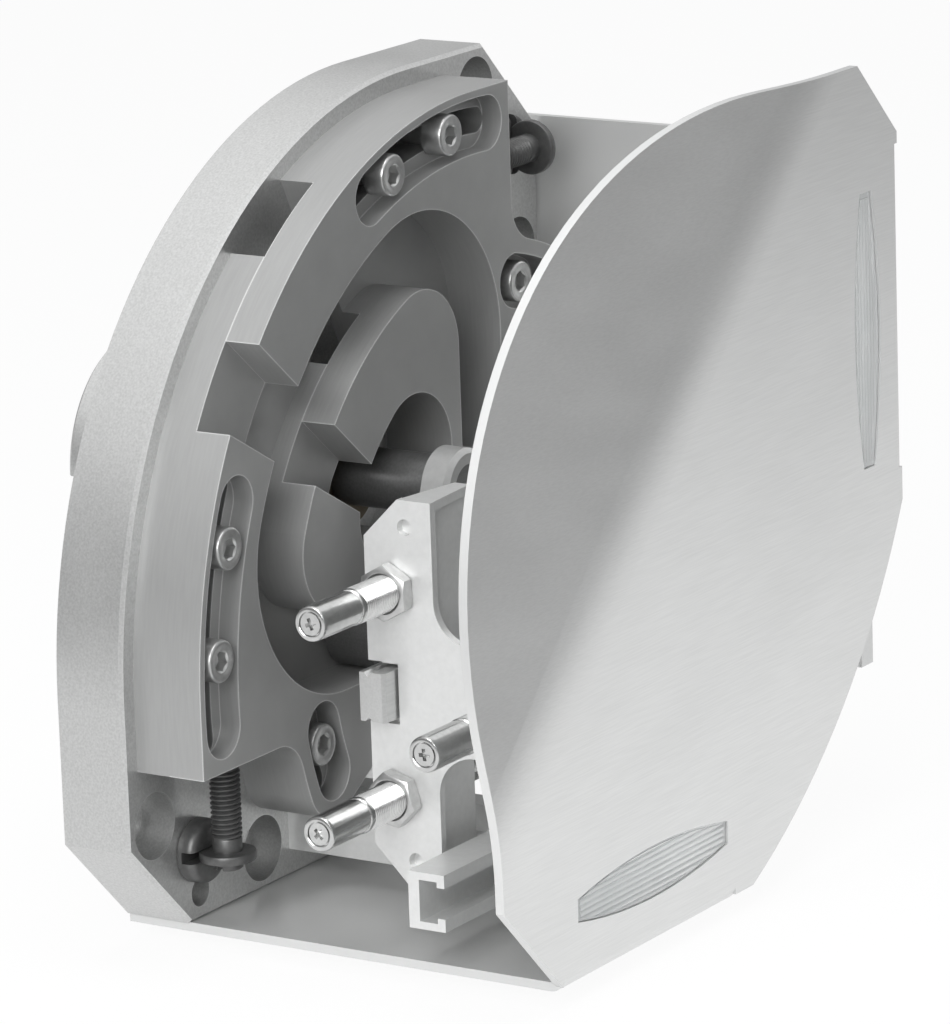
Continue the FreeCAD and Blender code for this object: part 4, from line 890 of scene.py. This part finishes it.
def cam_seats(radius, level, places):
    """Seats at one radius on both cams, for places given as degrees and the socket's turn."""
    seats = []
    for degrees, turn in places:
        for x, z in on_arc(radius, degrees):
            seats.append((point(x, level, z), to_front, (math.cos(turn), 0, math.sin(turn))))
    return seats


outer_seats = cam_seats(radius=78.8, level=9.0, places=[(95, 0.2), (108, 0.5)])
lobe_seats = cam_seats(radius=51.9, level=8.3, places=[(74, 0.9)])
cam_screws = [screw_set("outer_screws", cap_screw(*m4_cap, length=16.5), outer_seats),
              screw_set("lobe_screws", cap_screw(*m4_cap, length=15.8), lobe_seats)]
hand_over(joined("cam_cap_screws", cam_screws), "cam_screws", "base", plated_steel)

# %% Cover screws
wall_level = -plate_thickness / 2
wall_seat = 41.5
cover_seats = []
for along_edge in (30, 62):
    cover_seats.append((point(wall_seat, wall_level, along_edge), to_work, upwards))
    cover_seats.append((point(-along_edge, wall_level, -wall_seat), downwards, to_work))
cover_screws = screw_set("cover_cap_screws", cap_screw(*m4_flat_cap, length=9.0), cover_seats)
hand_over(cover_screws, "cover_screws", "base", plated_steel)

# %% Drive screws
drive_x, drive_z = -24, 24
drive_step, drive_level = 11.667, -36
socket_lean = 0.3
drive_seats = []
for a in (-1, 1):
    for b in (-1, 1):
        place = point(drive_x + drive_step * a, drive_level, drive_z + drive_step * b)
        drive_seats.append((place, to_rear, (1, 0, socket_lean * a)))
drive_screws = screw_set("drive_cap_screws", cap_screw(*m4_cap, length=32.0), drive_seats)
hand_over(drive_screws, "drive_screws", "base", plated_steel)

# %% [markdown]
# ## Sensor windows
# Each window is a clear lens that lies flush in a slot of the cover, with a lip behind the sheet.
# Its outline is what two large discs share, cut off at both ends. Ribs run along it, one strip
# arched and repeated by the Array modifier, and they stop short of the ends.

# %% Window lens
window_half_length = 23.25
window_half_end = 1.9
window_half_width = 4.3
disc_sides = 720  # only a short arc of each disc is used


def lens_block(name, level, top, grow):
    """Lens-shaped block between two levels: two arcs through the same cut ends, grown all round."""
    half_length = window_half_length + grow
    half_width = window_half_width + grow
    bulge = half_width - (window_half_end + grow)
    arc = (half_length ** 2 + bulge ** 2) / (2 * bulge)
    wide = 6  # more than half the width of any lens here
    discs = []
    for side in (-1, 1):
        disc = turned_bar(name, [(level, arc), (top, arc)], sides=disc_sides)
        offset = Vector((0, side * (arc - half_width) * MM, 0))
        discs.append(set_in_place(disc, offset, upwards, to_work))
    lens = carve(discs[0], discs[1], "INTERSECT")
    ends = block_cutter((-half_length, -wide, level - 1), (half_length, wide, top + 1))
    return carve(lens, ends, "INTERSECT")


window = lens_block("window", level=0.8, top=2.12, grow=-0.12)
carve(window, lens_block("window_lip", level=0.0, top=1.0, grow=1.4), "UNION")
print("lens faces:", len(window.data.polygons))

# %% Window ribs
rib_pitch, rib_count, rib_rows = 0.95, 9, 6
rib_length, rib_height, rib_level, rib_depth = 44.4, 0.16, 2.14, 0.5
first_rib = -(rib_count // 2)
same_row, same_point = 0.01 * MM, 0.001 * MM

bpy.ops.object.select_all(action="DESELECT")
bpy.ops.mesh.primitive_grid_add(x_subdivisions=1, y_subdivisions=rib_rows, size=1)
ribs = bpy.context.object
ribs.name = "window_ribs"
ribs.scale = (rib_length * MM, rib_pitch * MM, 1)
ribs.location = (0, first_rib * rib_pitch * MM, rib_level * MM)
settle()
for row in range(1, rib_rows):
    off_middle = row / rib_rows - 0.5
    row_y = (first_rib + off_middle) * rib_pitch * MM
    pick(ribs, lambda co: abs(co.y - row_y) < same_row)
    rise = rib_height * (1 - 4 * off_middle ** 2)
    bpy.ops.transform.translate(value=(0, 0, rise * MM))
    bpy.ops.object.mode_set(mode="OBJECT")
repeat = ribs.modifiers.new("repeat", "ARRAY")
repeat.count = rib_count
repeat.use_relative_offset = False
repeat.use_constant_offset = True
repeat.constant_offset_displace = (0, rib_pitch * MM, 0)
repeat.use_merge_vertices = True
repeat.merge_threshold = same_point
bpy.ops.object.modifier_apply(modifier=repeat.name)
pick_all()
bpy.ops.mesh.extrude_region_move(TRANSFORM_OT_translate={"value": (0, 0, -rib_depth * MM)})
face_outwards()
carve(ribs, lens_block("rib_limit", level=0.5, top=3.0, grow=-0.45), "INTERSECT")
carve(window, ribs, "UNION")
print("ribbed lens faces:", len(window.data.polygons))

# %% The two windows
window_along, window_across, window_level = 43.4, 29.5, 67.5
lower_window = set_in_place(copied(window), point(-window_along, window_level, -window_across),
                            to_front, to_work)
upper_window = set_in_place(copied(window), point(window_across, window_level, window_along),
                            to_front, upwards)
bpy.data.objects.remove(window)
lower_window.name = "ribbed_window_lower"
upper_window.name = "ribbed_window_upper"
hand_over(lower_window, "window_lower", "base", clear_plastic)
hand_over(upper_window, "window_upper", "base", clear_plastic)
